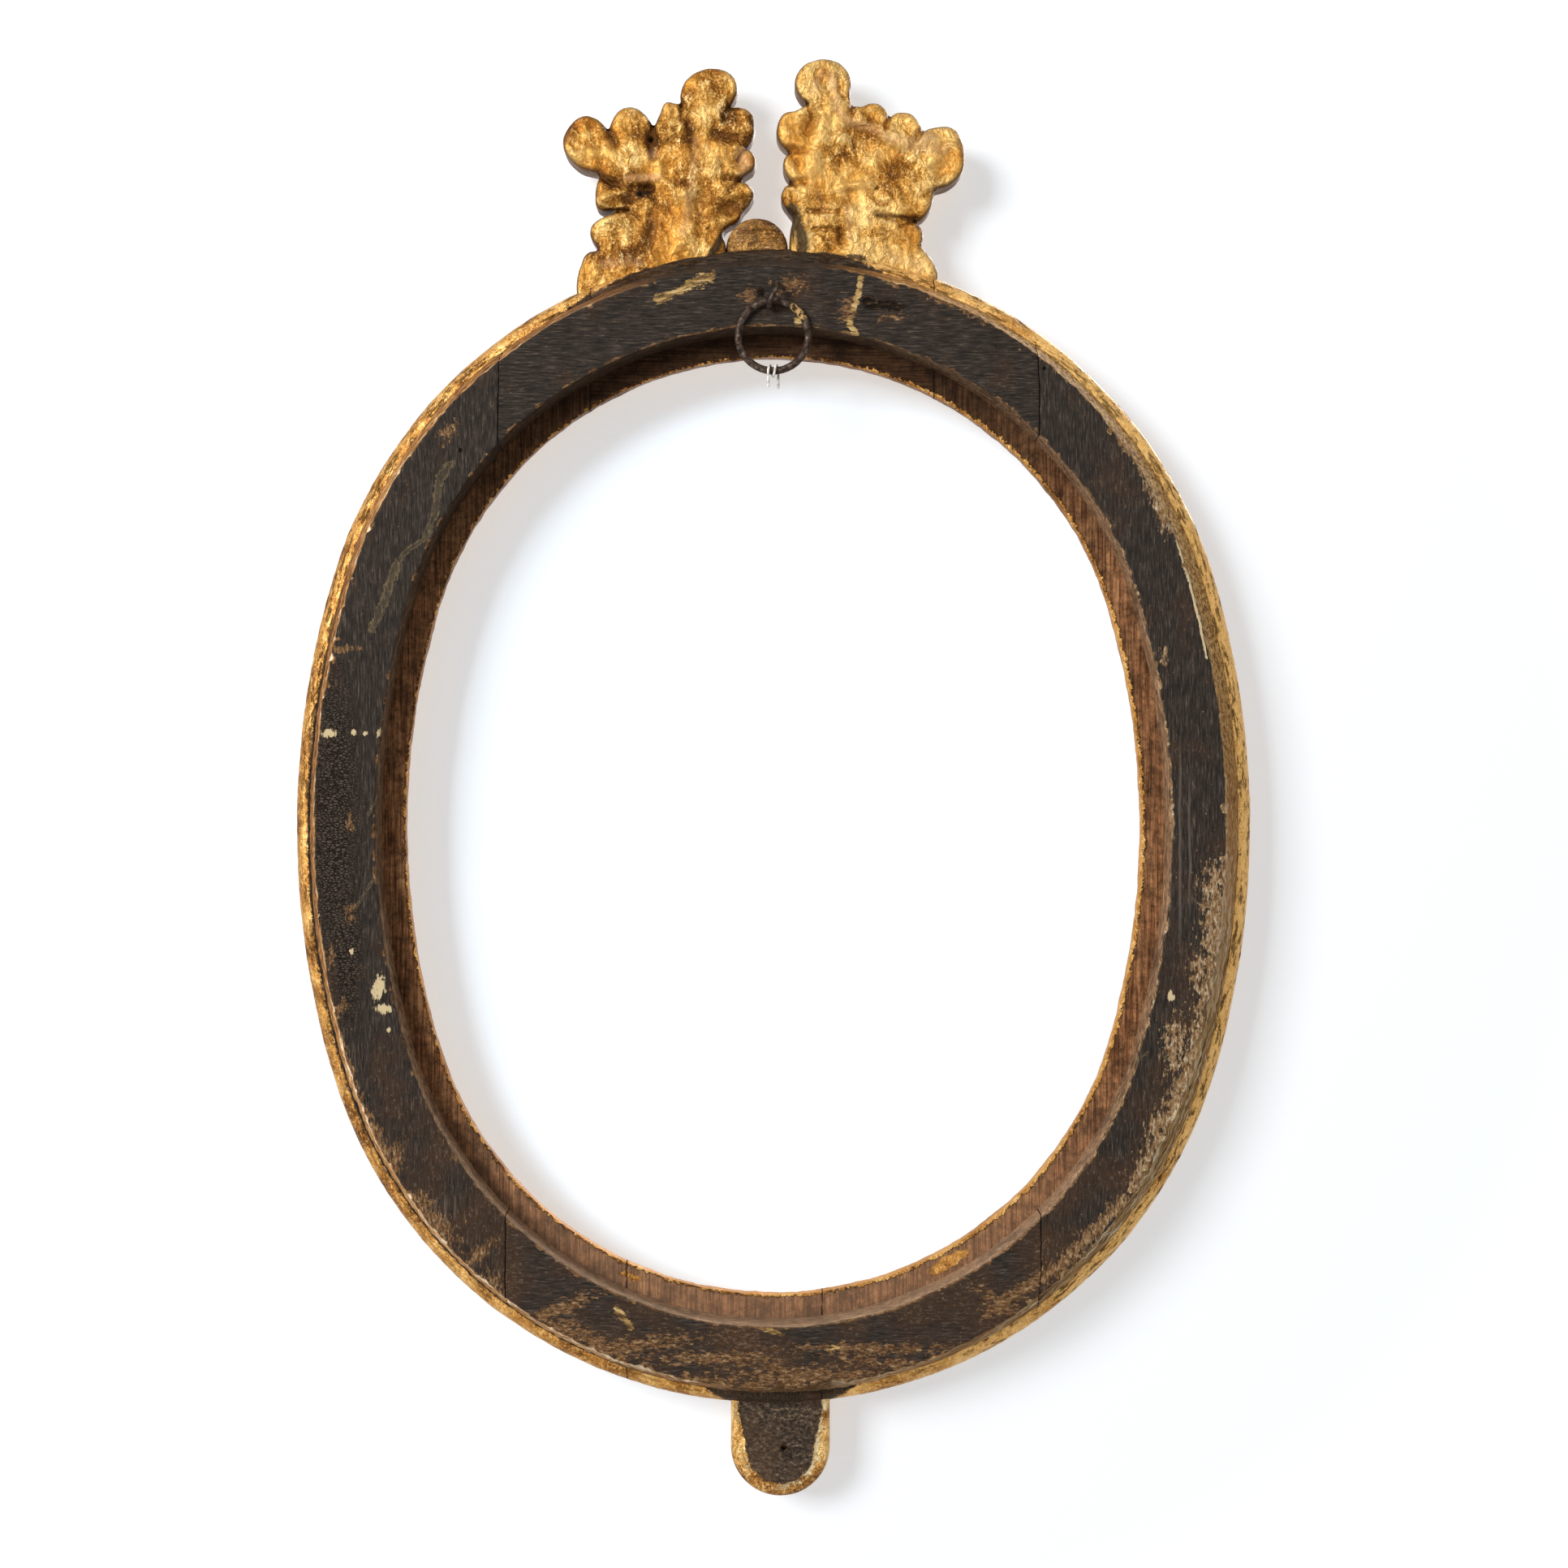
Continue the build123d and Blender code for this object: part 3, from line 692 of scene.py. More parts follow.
class Section:
    """A moulding's section, drawn line by line at the oval's right-hand end and then carried round it."""

    def __init__(self, oval: Oval, offset: float, depth: float) -> None:
        """Starts the line.

        Args:
            oval: The sight oval.
            offset: How far outside the sight edge it starts.
            depth: How far from the back it starts.
        """
        self.oval = oval
        self.mesh = bmesh.new()
        self.tip = self.mesh.verts.new((oval.half_width + offset, depth, 0))

    def line_to(self, offset: float, depth: float, parts: int = 1) -> "Section":
        """Draws a straight line in equal parts.

        Args:
            offset: Where it ends, from the sight edge.
            depth: Where it ends, from the back.
            parts: How many edges it has.

        Returns:
            The section, to draw on.
        """
        start, end = self.tip.co.copy(), Vector((self.oval.half_width + offset, depth, 0))
        for part in range(1, parts + 1):
            grown = bmesh.ops.extrude_vert_indiv(self.mesh, verts=[self.tip])["verts"][0]
            grown.co = start.lerp(end, part / parts)
            self.tip = grown
        return self

    def arc_to(self, via: Point, end: Point, parts: int) -> "Section":
        """Draws an arc through a point to an end.

        Args:
            via: Offset and depth of a point on the arc.
            end: Offset and depth of its end.
            parts: How many edges it has.

        Returns:
            The section, to draw on.
        """
        a, b, c = complex(*self.tip.co.xy), *(complex(self.oval.half_width + o, d) for o, d in (via, end))
        w = (c - a) / (b - a)
        centre = a + (b - a) * (w - abs(w) ** 2) / (2j * w.imag)
        sweep = np.angle((b - centre) / (a - centre)) + np.angle((c - centre) / (b - centre))
        made = bmesh.ops.spin(
            self.mesh, geom=[self.tip], cent=(centre.real, centre.imag, 0), axis=(0, 0, 1), dvec=(0, 0, 0),
            angle=float(sweep), steps=parts)
        self.tip = only(BMVert, made["geom_last"])[0]
        return self

    def carried_round(self, step: float) -> BMesh:
        """Carries the section round the oval.

        Args:
            step: About how long each face is, in millimetres.

        Returns:
            The closed ring.
        """
        bmesh.ops.remove_doubles(self.mesh, verts=self.mesh.verts, dist=TOUCH)
        section, stretch = bpy.data.meshes.new("section"), bpy.data.meshes.new("stretch")
        self.mesh.to_mesh(section)
        reach = self.mesh.verts[:][0].co.x
        self.mesh.free()
        ring = bmesh.new()
        for centre, angle in self.oval.turns():
            radius = reach + abs(centre.x) - (self.oval.side_bulge if centre.z else 0)
            stretches = max(1, round(angle * radius / step / STRETCH_STEPS))
            turned = Matrix.Rotation(-angle / stretches, 4, "Y")
            turn = Matrix.Translation(centre) @ turned @ Matrix.Translation(-centre)
            for _ in range(stretches):
                arc = bmesh.new()
                arc.from_mesh(section)
                bmesh.ops.spin(
                    arc, geom=[*arc.verts, *arc.edges], cent=centre, axis=(0, -1, 0), dvec=(0, 0, 0),
                    angle=angle / stretches, steps=STRETCH_STEPS)
                arc.to_mesh(stretch)
                arc.free()
                ring.from_mesh(stretch)
                section.transform(turn)
        for spare in (section, stretch):
            bpy.data.meshes.remove(spare)
        bmesh.ops.remove_doubles(ring, verts=ring.verts, dist=2 * TOUCH)
        bmesh.ops.recalc_face_normals(ring, faces=ring.faces)
        return ring


@dataclass(frozen=True)
class Joints:
    """Where a ply's upright butt joints cross its top and bottom, along X, and the fine groove worn along each."""

    top_left: float
    top_right: float
    bottom_left: float
    bottom_right: float
    groove: float = 0.5

    def board(self, ring: BMesh, side: Side) -> BMesh:
        """Saws one board out of a whole ring.

        Args:
            ring: The ring, which is left as it is.
            side: Which board.

        Returns:
            The board, closed at its ends, with its joint edges marked.
        """
        board = ring.copy()
        if side in (Side.TOP, Side.BOTTOM):
            up = side.value[1]
            left, right = (self.top_left, self.top_right) if up > 0 else (self.bottom_left, self.bottom_right)
            cuts = ((left, -1, up), (right, 1, up))
            self.saw(board, (0, 0, 0), (0, 0, -up), half=0, through=True)
        else:
            out = side.value[0]
            top, bottom = (self.top_left, self.bottom_left) if out < 0 else (self.top_right, self.bottom_right)
            cuts = ((top, -out, 1), (bottom, -out, -1))
        for at, away, half in cuts:
            self.saw(board, (at, 0, 0), (away, 0, 0), half, through=True)
            self.saw(board, (at - away * self.groove, 0, 0), (away, 0, 0), half, through=False)
        seam = board.verts.layers.float.new("seam")
        for v in board.verts:
            v[seam] = float(any(abs(v.co.x - at) < TOUCH and v.co.z * half > 0 for at, _, half in cuts))
        bmesh.ops.holes_fill(board, edges=[e for e in board.edges if e.is_boundary], sides=0)
        bmesh.ops.recalc_face_normals(board, faces=board.faces)
        return board

    def saw(self, board: BMesh, at: Sequence[float], away: Sequence[float], half: int, through: bool) -> None:
        """Saws a board along a plane.

        Args:
            board: The board.
            at: A point of the plane.
            away: The way to what is cut off.
            half: 1 to saw the upper half alone, -1 for the lower half, 0 for both.
            through: Whether the far side comes off, or the cut only leaves an edge line.
        """
        faces = [f for f in board.faces if f.calc_center_median().z * half >= 0]
        edges = {e for f in faces for e in f.edges}
        verts = {v for f in faces for v in f.verts}
        bmesh.ops.bisect_plane(
            board, geom=[*verts, *edges, *faces], dist=0.001, plane_co=at, plane_no=away, clear_outer=through)


def ungilded(spot: Vector) -> float:
    """Says how bare of gilding the rim near a point was left: 1 under the crest and over the tongue, 0 elsewhere."""
    left, full_left, right, full_right = (-115, -50, 62, 22) if spot.z > 0 else (-36, -20, 44, 26)
    return clamp(min((spot.x - left) / (full_left - left), (right - spot.x) / (right - full_right)))


def run_along(spot: Vector, offset: float, side: Side) -> Vector:
    """Gives a point's place across, into and along its board, in metres.

    Args:
        spot: The point.
        offset: How far outside the sight edge it lies.
        side: Which board it is on.

    Returns:
        The three lengths.
    """
    turn = math.atan2(spot.z, abs(spot.x)) if side.value[0] else math.atan2(spot.x, abs(spot.z))
    return Vector((offset, spot.y, MEAN_RADIUS * turn)) * MM


class Mark(Enum):
    """What an old mark on the black back is, by the name of the attribute that carries it."""

    TAN = "rubbed_to_wood"
    CREAM = "plaster_spot"
    OCHRE = "ochre_smear"
    GRIME = "dirty_drip"
    CRAZED = "crazed_paint"
    COMBED = "open_grain"
    TORN = "torn_hole"


MARKS: dict[Mark, tuple[Patch | Stroke, ...]] = {
    Mark.TAN: (
        Patch(1.5, -263, 4, 5), Patch(9, 262, 7, 4), Patch(-12, 256, 4, 4), Patch(58, 246.5, 6, 1.6, -8),
        Stroke(((215, -25), (215.5, -63), (211, -95), (203, -122), (192, -148), (180, -170)), 7.5),
        Patch(194.5, -107, 6, 14), Patch(205, -70, 4, 10), Patch(186, -145, 5, 9, 20),
        Stroke(((170, -182), (140, -212), (105, -234)), 4),
        Patch(-171, -183, 7, 6, 20), Patch(-162, -193, 12, 6, 40), Patch(-137, -222, 7, 6), Patch(-99, -243, 12, 5, 15),
        Patch(-86, -249, 8, 4, 20), Patch(-183, -160, 4, 8, 20), Stroke(((-214, -92), (-203, -128), (-183, -165)), 3),
        Patch(13, -266, 34, 6), Patch(-29, -257, 30, 3), Patch(-36, -268, 30, 3), Patch(-70, -251, 34, 4, -8),
        Patch(45, -252, 40, 2.5), Patch(-105, -234, 20, 4, -25), Patch(62, -260, 34, 3, 8),
        Patch(110, -230, 14, 3, 32), Patch(-143, -207, 10, 3, -40),
        Patch(-190, 172, 3, 9, 35), Patch(-209, 86, 9, 1.6), Patch(189, 83, 2, 4), Patch(192, 149, 4, 7),
        Patch(-204, 1.5, 2, 4), Patch(-205, -42, 3, 4), Patch(-214, -63, 2.4, 6), Patch(-208, -87, 3, 3),
        Patch(-158, 190, 6, 3, -45), Patch(36, 249, 4, 7), Stroke(((80, 256), (118, 240), (150, 214)), 2.2),
        Stroke(((170, 190), (182, 172), (191, 148)), 3.2),
    ),
    Mark.CREAM: (
        Patch(-215, 45.6, 4.5, 2.6), Patch(-202.5, 45.6, 1.8, 1.8), Patch(-197, 45.2, 1.6, 1.5),
        Patch(-189.6, 45.6, 2.0, 2.6), Patch(-190.7, -77.5, 3.4, 7.5, 10), Patch(-188.4, -88, 4.6, 2.6),
        Patch(191.7, -82, 2.0, 3),
        Patch(-186, -98, 1.6, 1.6), Patch(-204, -60, 1.4, 2), Patch(182, -168, 3, 5, 30),
        Stroke(((201, -128), (189, -156)), 1.2), Stroke(((197, 139), (203, 120), (208, 101), (211.5, 82)), 1.0),
    ),
    Mark.OCHRE: (
        Stroke(((-30, 265.5), (-37, 264.5), (-43, 260), (-55.8, 255)), 2.4), Patch(-36.5, 263.5, 7, 3.6, -15),
        Stroke(((43, 269), (41.4, 259), (38.6, 249), (36.6, 243), (40.4, 238.5), (35.4, 237)), 1.7),
        Patch(12, 243.5, 2.2, 4, 10), Patch(0.5, -244, 5, 1.6, 15), Patch(29.6, -252, 3.4, 1.8), Patch(56, 268, 4, 5),
        Patch(75, 262, 3.5, 4.5, 20), Stroke(((-76, -233), (-71, -238), (-69, -242)), 1.8),
    ),
    Mark.GRIME: (
        Stroke(((-155.7, 175.4), (-160, 171), (-162.5, 161), (-163.5, 152)), 2.5),
        Stroke(((-163.5, 152), (-168.3, 139)), 1.8), Stroke(((-168.3, 139), (-178, 132.5), (-183.3, 123.5)), 1.5),
        Stroke(((-182, 127), (-186.8, 111.7), (-194, 96)), 2.6), Stroke(((-202, -39), (-188, -17)), 0.9),
        Stroke(((166, -120), (181, -109)), 0.8), Stroke(((-196, 6), (-189, 18)), 0.8),
    ),
    Mark.CRAZED: (Patch(-212, 5, 14, 85), Patch(-206, -60, 9, 40)),
    Mark.COMBED: (Patch(197, -10, 7, 55), Patch(-165, -190, 20, 8, -40)),
    Mark.TORN: (
        Patch(52, 252.5, 10, 2.6, -8), Patch(46, 254.5, 4, 2.6), Patch(60, 250.5, 6, 1.4, -12),
        Patch(-5.8, 258.4, 2.4, 2.6),
    ),
}


@dataclass(frozen=True)
class BackPly:
    """The four flat black boards round the rabbet, with worn arrises and broken outer edges, in millimetres.

    Each broken stretch of the outer edge has its X and Z, its reach and how bad it is.
    """

    oval: Oval
    joints: Joints = Joints(-133.0, 128.5, -129.5, 129.5)
    wall: float = 11.5
    face_edge: float = 41.5
    seam_edge: float = 48.0
    depth: float = 18.0
    arris: float = 0.8
    step: float = 1.1
    harm: tuple[tuple[float, float, float, float], ...] = (
        (216, -60, 60, 0.75), (205, -120, 45, 0.9), (190, -165, 40, 1.0), (150, -215, 45, 0.6), (20, -270, 45, 0.7),
        (-80, -255, 50, 0.55), (-160, -205, 45, 0.55), (-205, -130, 40, 0.45), (205, 105, 25, 0.5), (188, 150, 22, 0.5),
        (173, 187, 20, 0.45), (-190, 172, 30, 0.4), (70, 262, 25, 0.35), (225, -20, 30, 0.5),
    )

    def ring(self) -> BMesh:
        """Draws the section and carries it round.

        Returns:
            The whole ring.
        """
        inner, outer = self.wall + self.arris, self.face_edge - self.arris
        return (
            Section(self.oval, self.wall, self.depth)
            .line_to(self.wall, self.arris, 8).line_to(inner, 0).line_to(outer, 0, 26)
            .line_to(self.face_edge + 0.3, self.arris).line_to(self.seam_edge, self.depth, 14)
            .line_to(self.wall, self.depth, 6).carried_round(self.step)
        )

    def harm_at(self, spot: Vector) -> float:
        """Says how badly the outer edge is broken near a point, from 0 to 1."""
        return max(s * math.exp(-((spot.x - x) ** 2 + (spot.z - z) ** 2) / r ** 2) for x, z, r, s in self.harm)

    def mark(self, board: BMesh) -> None:
        """Writes how far inside each kind of old mark every point lies, 1 at a mark's middle and 0 at its edge.

        Args:
            board: The board.
        """
        spots = np.array([(v.co.x, v.co.z) for v in board.verts])
        for mark, patches in MARKS.items():
            layer = board.verts.layers.float.new(mark.value)
            inside = np.max([patch.inside(spots) for patch in patches], axis=0)
            for v, value in zip(board.verts, inside):
                v[layer] = value

    def age(self, board: BMesh, side: Side) -> None:
        """Breaks and wears the edges, and marks each point's wear, its place across, into and along the board, and the
        painted shade of its rabbet wall.

        Args:
            board: The board.
            side: Which board it is.
        """
        across, wear, painted_wall_shade, slip = (
            board.verts.layers.float.new(name) for name in ("across", "wear", "painted_wall_shade", "gilt_slope"))
        run = board.verts.layers.float_vector.new("run")
        seam, hole = (board.verts.layers.float[name] for name in ("seam", Mark.TORN.value))
        for v in board.verts:
            offset, out = self.oval.outward(v.co)
            depth, spot = v.co.y, v.co.copy()
            v[across], v[run] = offset, run_along(spot, offset, side)
            v[painted_wall_shade], v[slip] = max(0.0, 0.9 * out.z - 0.45 * out.x), 1 - ungilded(spot)
            torn = noise.noise(spot / 6.5) + 0.55 * noise.noise(spot / 2.3) + 0.4 * noise.noise(spot / 17)
            harm = self.harm_at(spot)
            chip = max(0.0, torn - 0.62 + 0.95 * harm) * 3.2
            near = max(0.0, 1 - abs(offset - self.face_edge) / 5) * max(0.0, 1 - depth / 9)
            inner = max(0.0, 1 - abs(offset - self.wall) / 2.2) * max(0.0, 1 - depth / 4)
            nick = max(0.0, torn - 0.25) * 1.3
            rounded = max(0.0, out.x) ** 2 * clamp(min((offset - 30) / 11, (self.depth - depth) / 14))
            v.co -= out * (chip * near + 2.8 * rounded)
            sunk = 1.2 * clamp(v[hole] + 0.5 * torn, high=0.6) * (depth < 1)
            v.co.y += 0.55 * chip * near + nick * inner + sunk
            v.co += out * (nick * inner + 0.5 * noise.noise(spot / 24) + 0.25 * noise.noise(spot / 6))
            slope = offset > self.face_edge and 0.5 < depth < self.depth - 0.5
            if slope:
                v.co += out * (0.5 + 0.6 * harm) * noise.noise(spot / 2.8)
            if depth < self.depth - 0.5:
                v.co.y += 0.12 * noise.noise(spot / 30) + 0.06 * noise.noise(spot / 5) - 0.1 + 0.5 * v[seam]
            rim = max(0.0, 1 - abs(offset - self.face_edge) / 2.2) * (depth < 2)
            rub = rim * (0.26 - 0.22 * max(0.0, out.z) ** 2)
            handled = math.exp(-((spot.x + 25) / 60) ** 2) if spot.z > 0 else 0.0
            sill = max(0.0, 1 - abs(offset - self.wall - 0.8) / 2.0) * (depth < 2)
            rub += sill * (0.16 + 0.2 * handled + 0.14 * max(0.0, -out.z) + 0.1 * max(0.0, out.x))
            worn_slope = slope * (0.12 + 0.5 * harm + 0.16 * max(0.0, -out.z) + 0.1 * max(0.0, out.x))
            v[wear] = min(1.0, chip * near / 0.7 + nick * inner / 0.5 + worn_slope + rub)

    def material(self, grain: Grain) -> Material:
        """Makes the boards' finish: black face and slope, bare rabbet wall, worn edges and old marks.

        Args:
            grain: Which way the boards' grain runs.

        Returns:
            The material.
        """
        made, tree, spot = new_material(f"black_paint_on_softwood_{grain.name.lower()}")
        node = partial(add, tree)
        across, wear, seam = (
            node("Attribute", attribute_name=name).outputs["Fac"] for name in ("across", "wear", "seam"))
        run = node("Attribute", attribute_name="run").outputs["Vector"]
        lined = node("Mapping", {"Vector": run, "Scale": (1.0, 1.0, 0.25)})
        fine = node("TexNoise", {"Vector": lined, "Scale": per_mm(2.2), "Detail": 6, "Roughness": 0.75})
        short = node("Mapping", {"Vector": spot, "Scale": [max(0.4, part) for part in grain.value]})
        torn = node("TexNoise", {"Vector": short, "Scale": per_mm(1.8), "Detail": 7, "Roughness": 0.72})
        swing = node("MapRange", (torn, 0.25, 0.75, -1.0, 1.0), clamp=False)
        coat = BlackPaint(grain).coat(tree, spot)
        along, _, up = node("SeparateXYZ", {0: spot}).outputs
        # More gesso shows on broken edges and rubbed patches towards the right.
        paler_right = node("MapRange", (along, 0.12, 0.19, 0.0, 0.09))
        broken = BrokenEdge(lump_mm=1.3).coat(tree, short, paler_right)
        marks = {mark: node("Attribute", attribute_name=mark.value).outputs["Fac"] for mark in Mark}
        stretched = node("Mapping", {"Vector": spot, "Scale": (1.0, 1.0, 2.0)})
        cracks = node("TexVoronoi", {"Vector": stretched, "Scale": per_mm(2.1)}, feature="DISTANCE_TO_EDGE")
        line = node("MapRange", (cracks, 0.15, 0.05, 0.0, 0.9))
        patchy = node("Math.MULTIPLY_ADD", (swing, 0.4, marks[Mark.CRAZED]))
        there = node("MapRange", (patchy, 0.0, 0.6))
        crack = node("Math.MULTIPLY", (line, there))
        pit = Coat(linear("#15100c"), 0.9, -0.6)
        scale = node("MapRange", {"Value": there, 3: 0.0, 4: 0.6})
        coat = coat.under(tree, Coat(linear("#594d41"), 0.6, 0.4), scale).under(tree, pit, crack)
        comb = node("TexWave", {"Vector": spot, "Scale": per_mm(2.4) / WAVE, "Distortion": 1.2, "Detail": 1},
                    bands_direction="X" if grain is Grain.UPRIGHT else "Z").outputs["Fac"]
        furrow = node("MapRange", (comb, 0.72, 0.95, 0.0, 0.55))
        open_grain = node("MapRange", (marks[Mark.COMBED], 0.0, 0.4))
        coat = coat.under(tree, Coat(linear("#6b6056"), 0.7, 0.5), node("Math.MULTIPLY", (furrow, open_grain)))
        ochre = node("ValToRGB", {"Fac": fine}, (
            (0.33, "#5f4222"), (0.43, "#94703c"), (0.53, "#c9a262"), (0.62, "#e8cf9c")))
        splinter = node("ValToRGB", {"Fac": torn}, ((0.48, "#0f0a07"), (0.58, "#3a2a1d"), (0.68, "#86684a")))
        flecked = node("MapRange", (fine, 0.4, 0.52, 0.25, 1.0))
        coats = {
            Mark.TAN: (broken, 1.9, 0.85), Mark.CREAM: (Coat(linear("#d2bc92"), 0.8, 0.3), 0.8, 0.95),
            Mark.OCHRE: (Coat(ochre, 0.6, fine), 1.1, 0.85), Mark.GRIME: (Coat(linear("#a08c68"), 0.7, 0.2), 0.9, 0.75),
            Mark.TORN: (Coat(splinter, 0.9, -0.8), 0.5, 0.95),
        }
        for mark, (over, ragged, strength) in coats.items():
            edge = node("Math.MULTIPLY_ADD", (swing, ragged, marks[mark]))
            where = node("MapRange", (edge, 0.12, 0.26, 0.0, strength))
            if mark is Mark.OCHRE:
                where = node("Math.MULTIPLY", (where, flecked))
            if mark is Mark.GRIME:
                dried = node("MapRange", (edge, 0.3, 0.55, 0.0, 0.6))
                thick = node("Math.SUBTRACT", (where, dried))
                film = node("MapRange", (fine, 0.42, 0.58, 0.3, 1.0))
                where = node("Math.MULTIPLY", (thick, film))
            coat = coat.under(tree, over, where)
        # Worm holes: near-black dots as painted shade inside them.
        worms = (
            Patch(-151.4, 182, 1, 1), Patch(131, 221.5, 0.9, 0.9), Patch(-16, 273, 0.9, 0.7),
            Patch(175, 107, 0.9, 0.9))
        coat = coat.under(tree, Coat(linear("#120c08"), 0.9, -0.8), patch_mask(tree, spot, worms, ragged=0.2))
        wornness = node("Math.ADD", (wear, fine))
        coat = coat.under(tree, broken, node("MapRange", (wornness, 0.72, 0.86)))
        gilt, painted_wall_shade = (node("Attribute", attribute_name=name).outputs["Fac"] for name in ("gilt_slope", "painted_wall_shade"))
        ragged = node("Math.MULTIPLY_ADD", (fine, 2.4, across))
        outside = node("MapRange", (ragged, self.face_edge + 1.0, self.face_edge + 1.6))
        aside = node("Math.SUBTRACT", (across, self.face_edge + 0.4))
        close = node("Math.ABSOLUTE", (aside,))
        arris = node("MapRange", (close, 1.0, 0.2, 0.0, 0.06))
        # More gesso where the slope is worn, raised further as painted light for the shaded lower and right slope.
        worn_and_lit_lift = node("Math.MULTIPLY_ADD", (wear, 0.34, -0.06))
        lift = node("Math.ADD", (worn_and_lit_lift, arris))
        combed_out = node("Mapping", {"Vector": run, "Scale": (1.0, 1.0, 0.3)})
        slope = BrokenEdge("#744a28", "#ae7a44", "#d6a36a", "#fbe0bd", 1.5).coat(tree, combed_out, lift)
        # Gold laid over the upper right slope, its colours lightened as painted light for a slope facing away from the
        # lamp.
        high = node("MapRange", (up, -0.02, 0.08))
        bright = node("MapRange", (along, 0.04, 0.12))
        grainy = node("TexNoise", {"Vector": spot, "Scale": per_mm(2.4), "Detail": 6, "Roughness": 0.78})
        lightened_laid_gold = node("ValToRGB", {"Fac": grainy}, ((0.41, "#472c14"), (0.48, "#bf8641"), (0.61, "#fbd48d")))
        slope = slope.under(tree, Coat(lightened_laid_gold, 0.6, fine), node("Math.MULTIPLY", (bright, high)))
        # Flaky gesso on the lower right slope, its colours lightened as painted light for a slope facing away from the
        # lamp.
        layered = node("Mapping", {"Vector": run, "Scale": (1.0, 1.0, 0.12)})
        split = node("TexNoise", {"Vector": layered, "Scale": per_mm(2.2), "Detail": 6, "Roughness": 0.75})
        flaky = node("ValToRGB", {"Fac": split}, (
            (0.37, "#24170d"), (0.45, "#8f6a3e"), (0.54, "#cda36a"), (0.62, "#fff0d4")))
        deep = node("MapRange", (up, 0.0, -0.1))
        slope = slope.under(tree, Coat(flaky, 0.7, split), node("Math.MULTIPLY", (bright, deep)))
        coat = coat.under(tree, slope, node("Math.MULTIPLY", (outside, gilt)))
        gap = node("MapRange", (across, self.seam_edge - 2.6, self.seam_edge - 1.4))
        for value, begins, ends in ((along, 0.0, -0.1), (up, 0.16, 0.06)):
            part = node("MapRange", (value, begins, ends))
            gap = node("Math.MULTIPLY", (gap, part))
        coat = coat.under(tree, pit, gap)
        inside = node("MapRange", (across, self.wall + 0.7, self.wall + 0.2))
        bare = BareWood(grain, "#66472e", "#947254", "#b09172", 0.9).coat(tree, spot)
        # Painted shade: the bare rabbet wall darkened on the top and left, which face away from the lamp.
        dim = node("MapRange", (painted_wall_shade, 0.15, 0.85, 0.0, 0.85))
        # Painted light: the bare wall paler towards the bottom, which faces up into the lamp.
        painted_lit_bottom = node("MapRange", (up, -0.12, -0.22, 0.0, 0.3))
        bare = bare.under(tree, Coat(linear("#c0a388"), 0.8, fine), painted_lit_bottom)
        coat = coat.under(tree, bare.under(tree, Coat(linear("#1d120a"), 0.8, fine), dim), inside)
        coat.under(tree, pit, node("MapRange", (seam, 0.35, 0.8))).material(tree)
        return made

    def build(self) -> None:
        """Builds and dresses the four boards."""
        ring = self.ring()
        finishes = {grain: self.material(grain) for grain in Grain}
        for side in Side:
            board = self.joints.board(ring, side)
            self.mark(board)
            self.age(board, side)
            grain = Grain.LEVEL if side in (Side.TOP, Side.BOTTOM) else Grain.UPRIGHT
            name = side.name.lower()
            as_object(f"{name}_back_board", board, finishes[grain], "frame", [f"back_{name}"])
        ring.free()


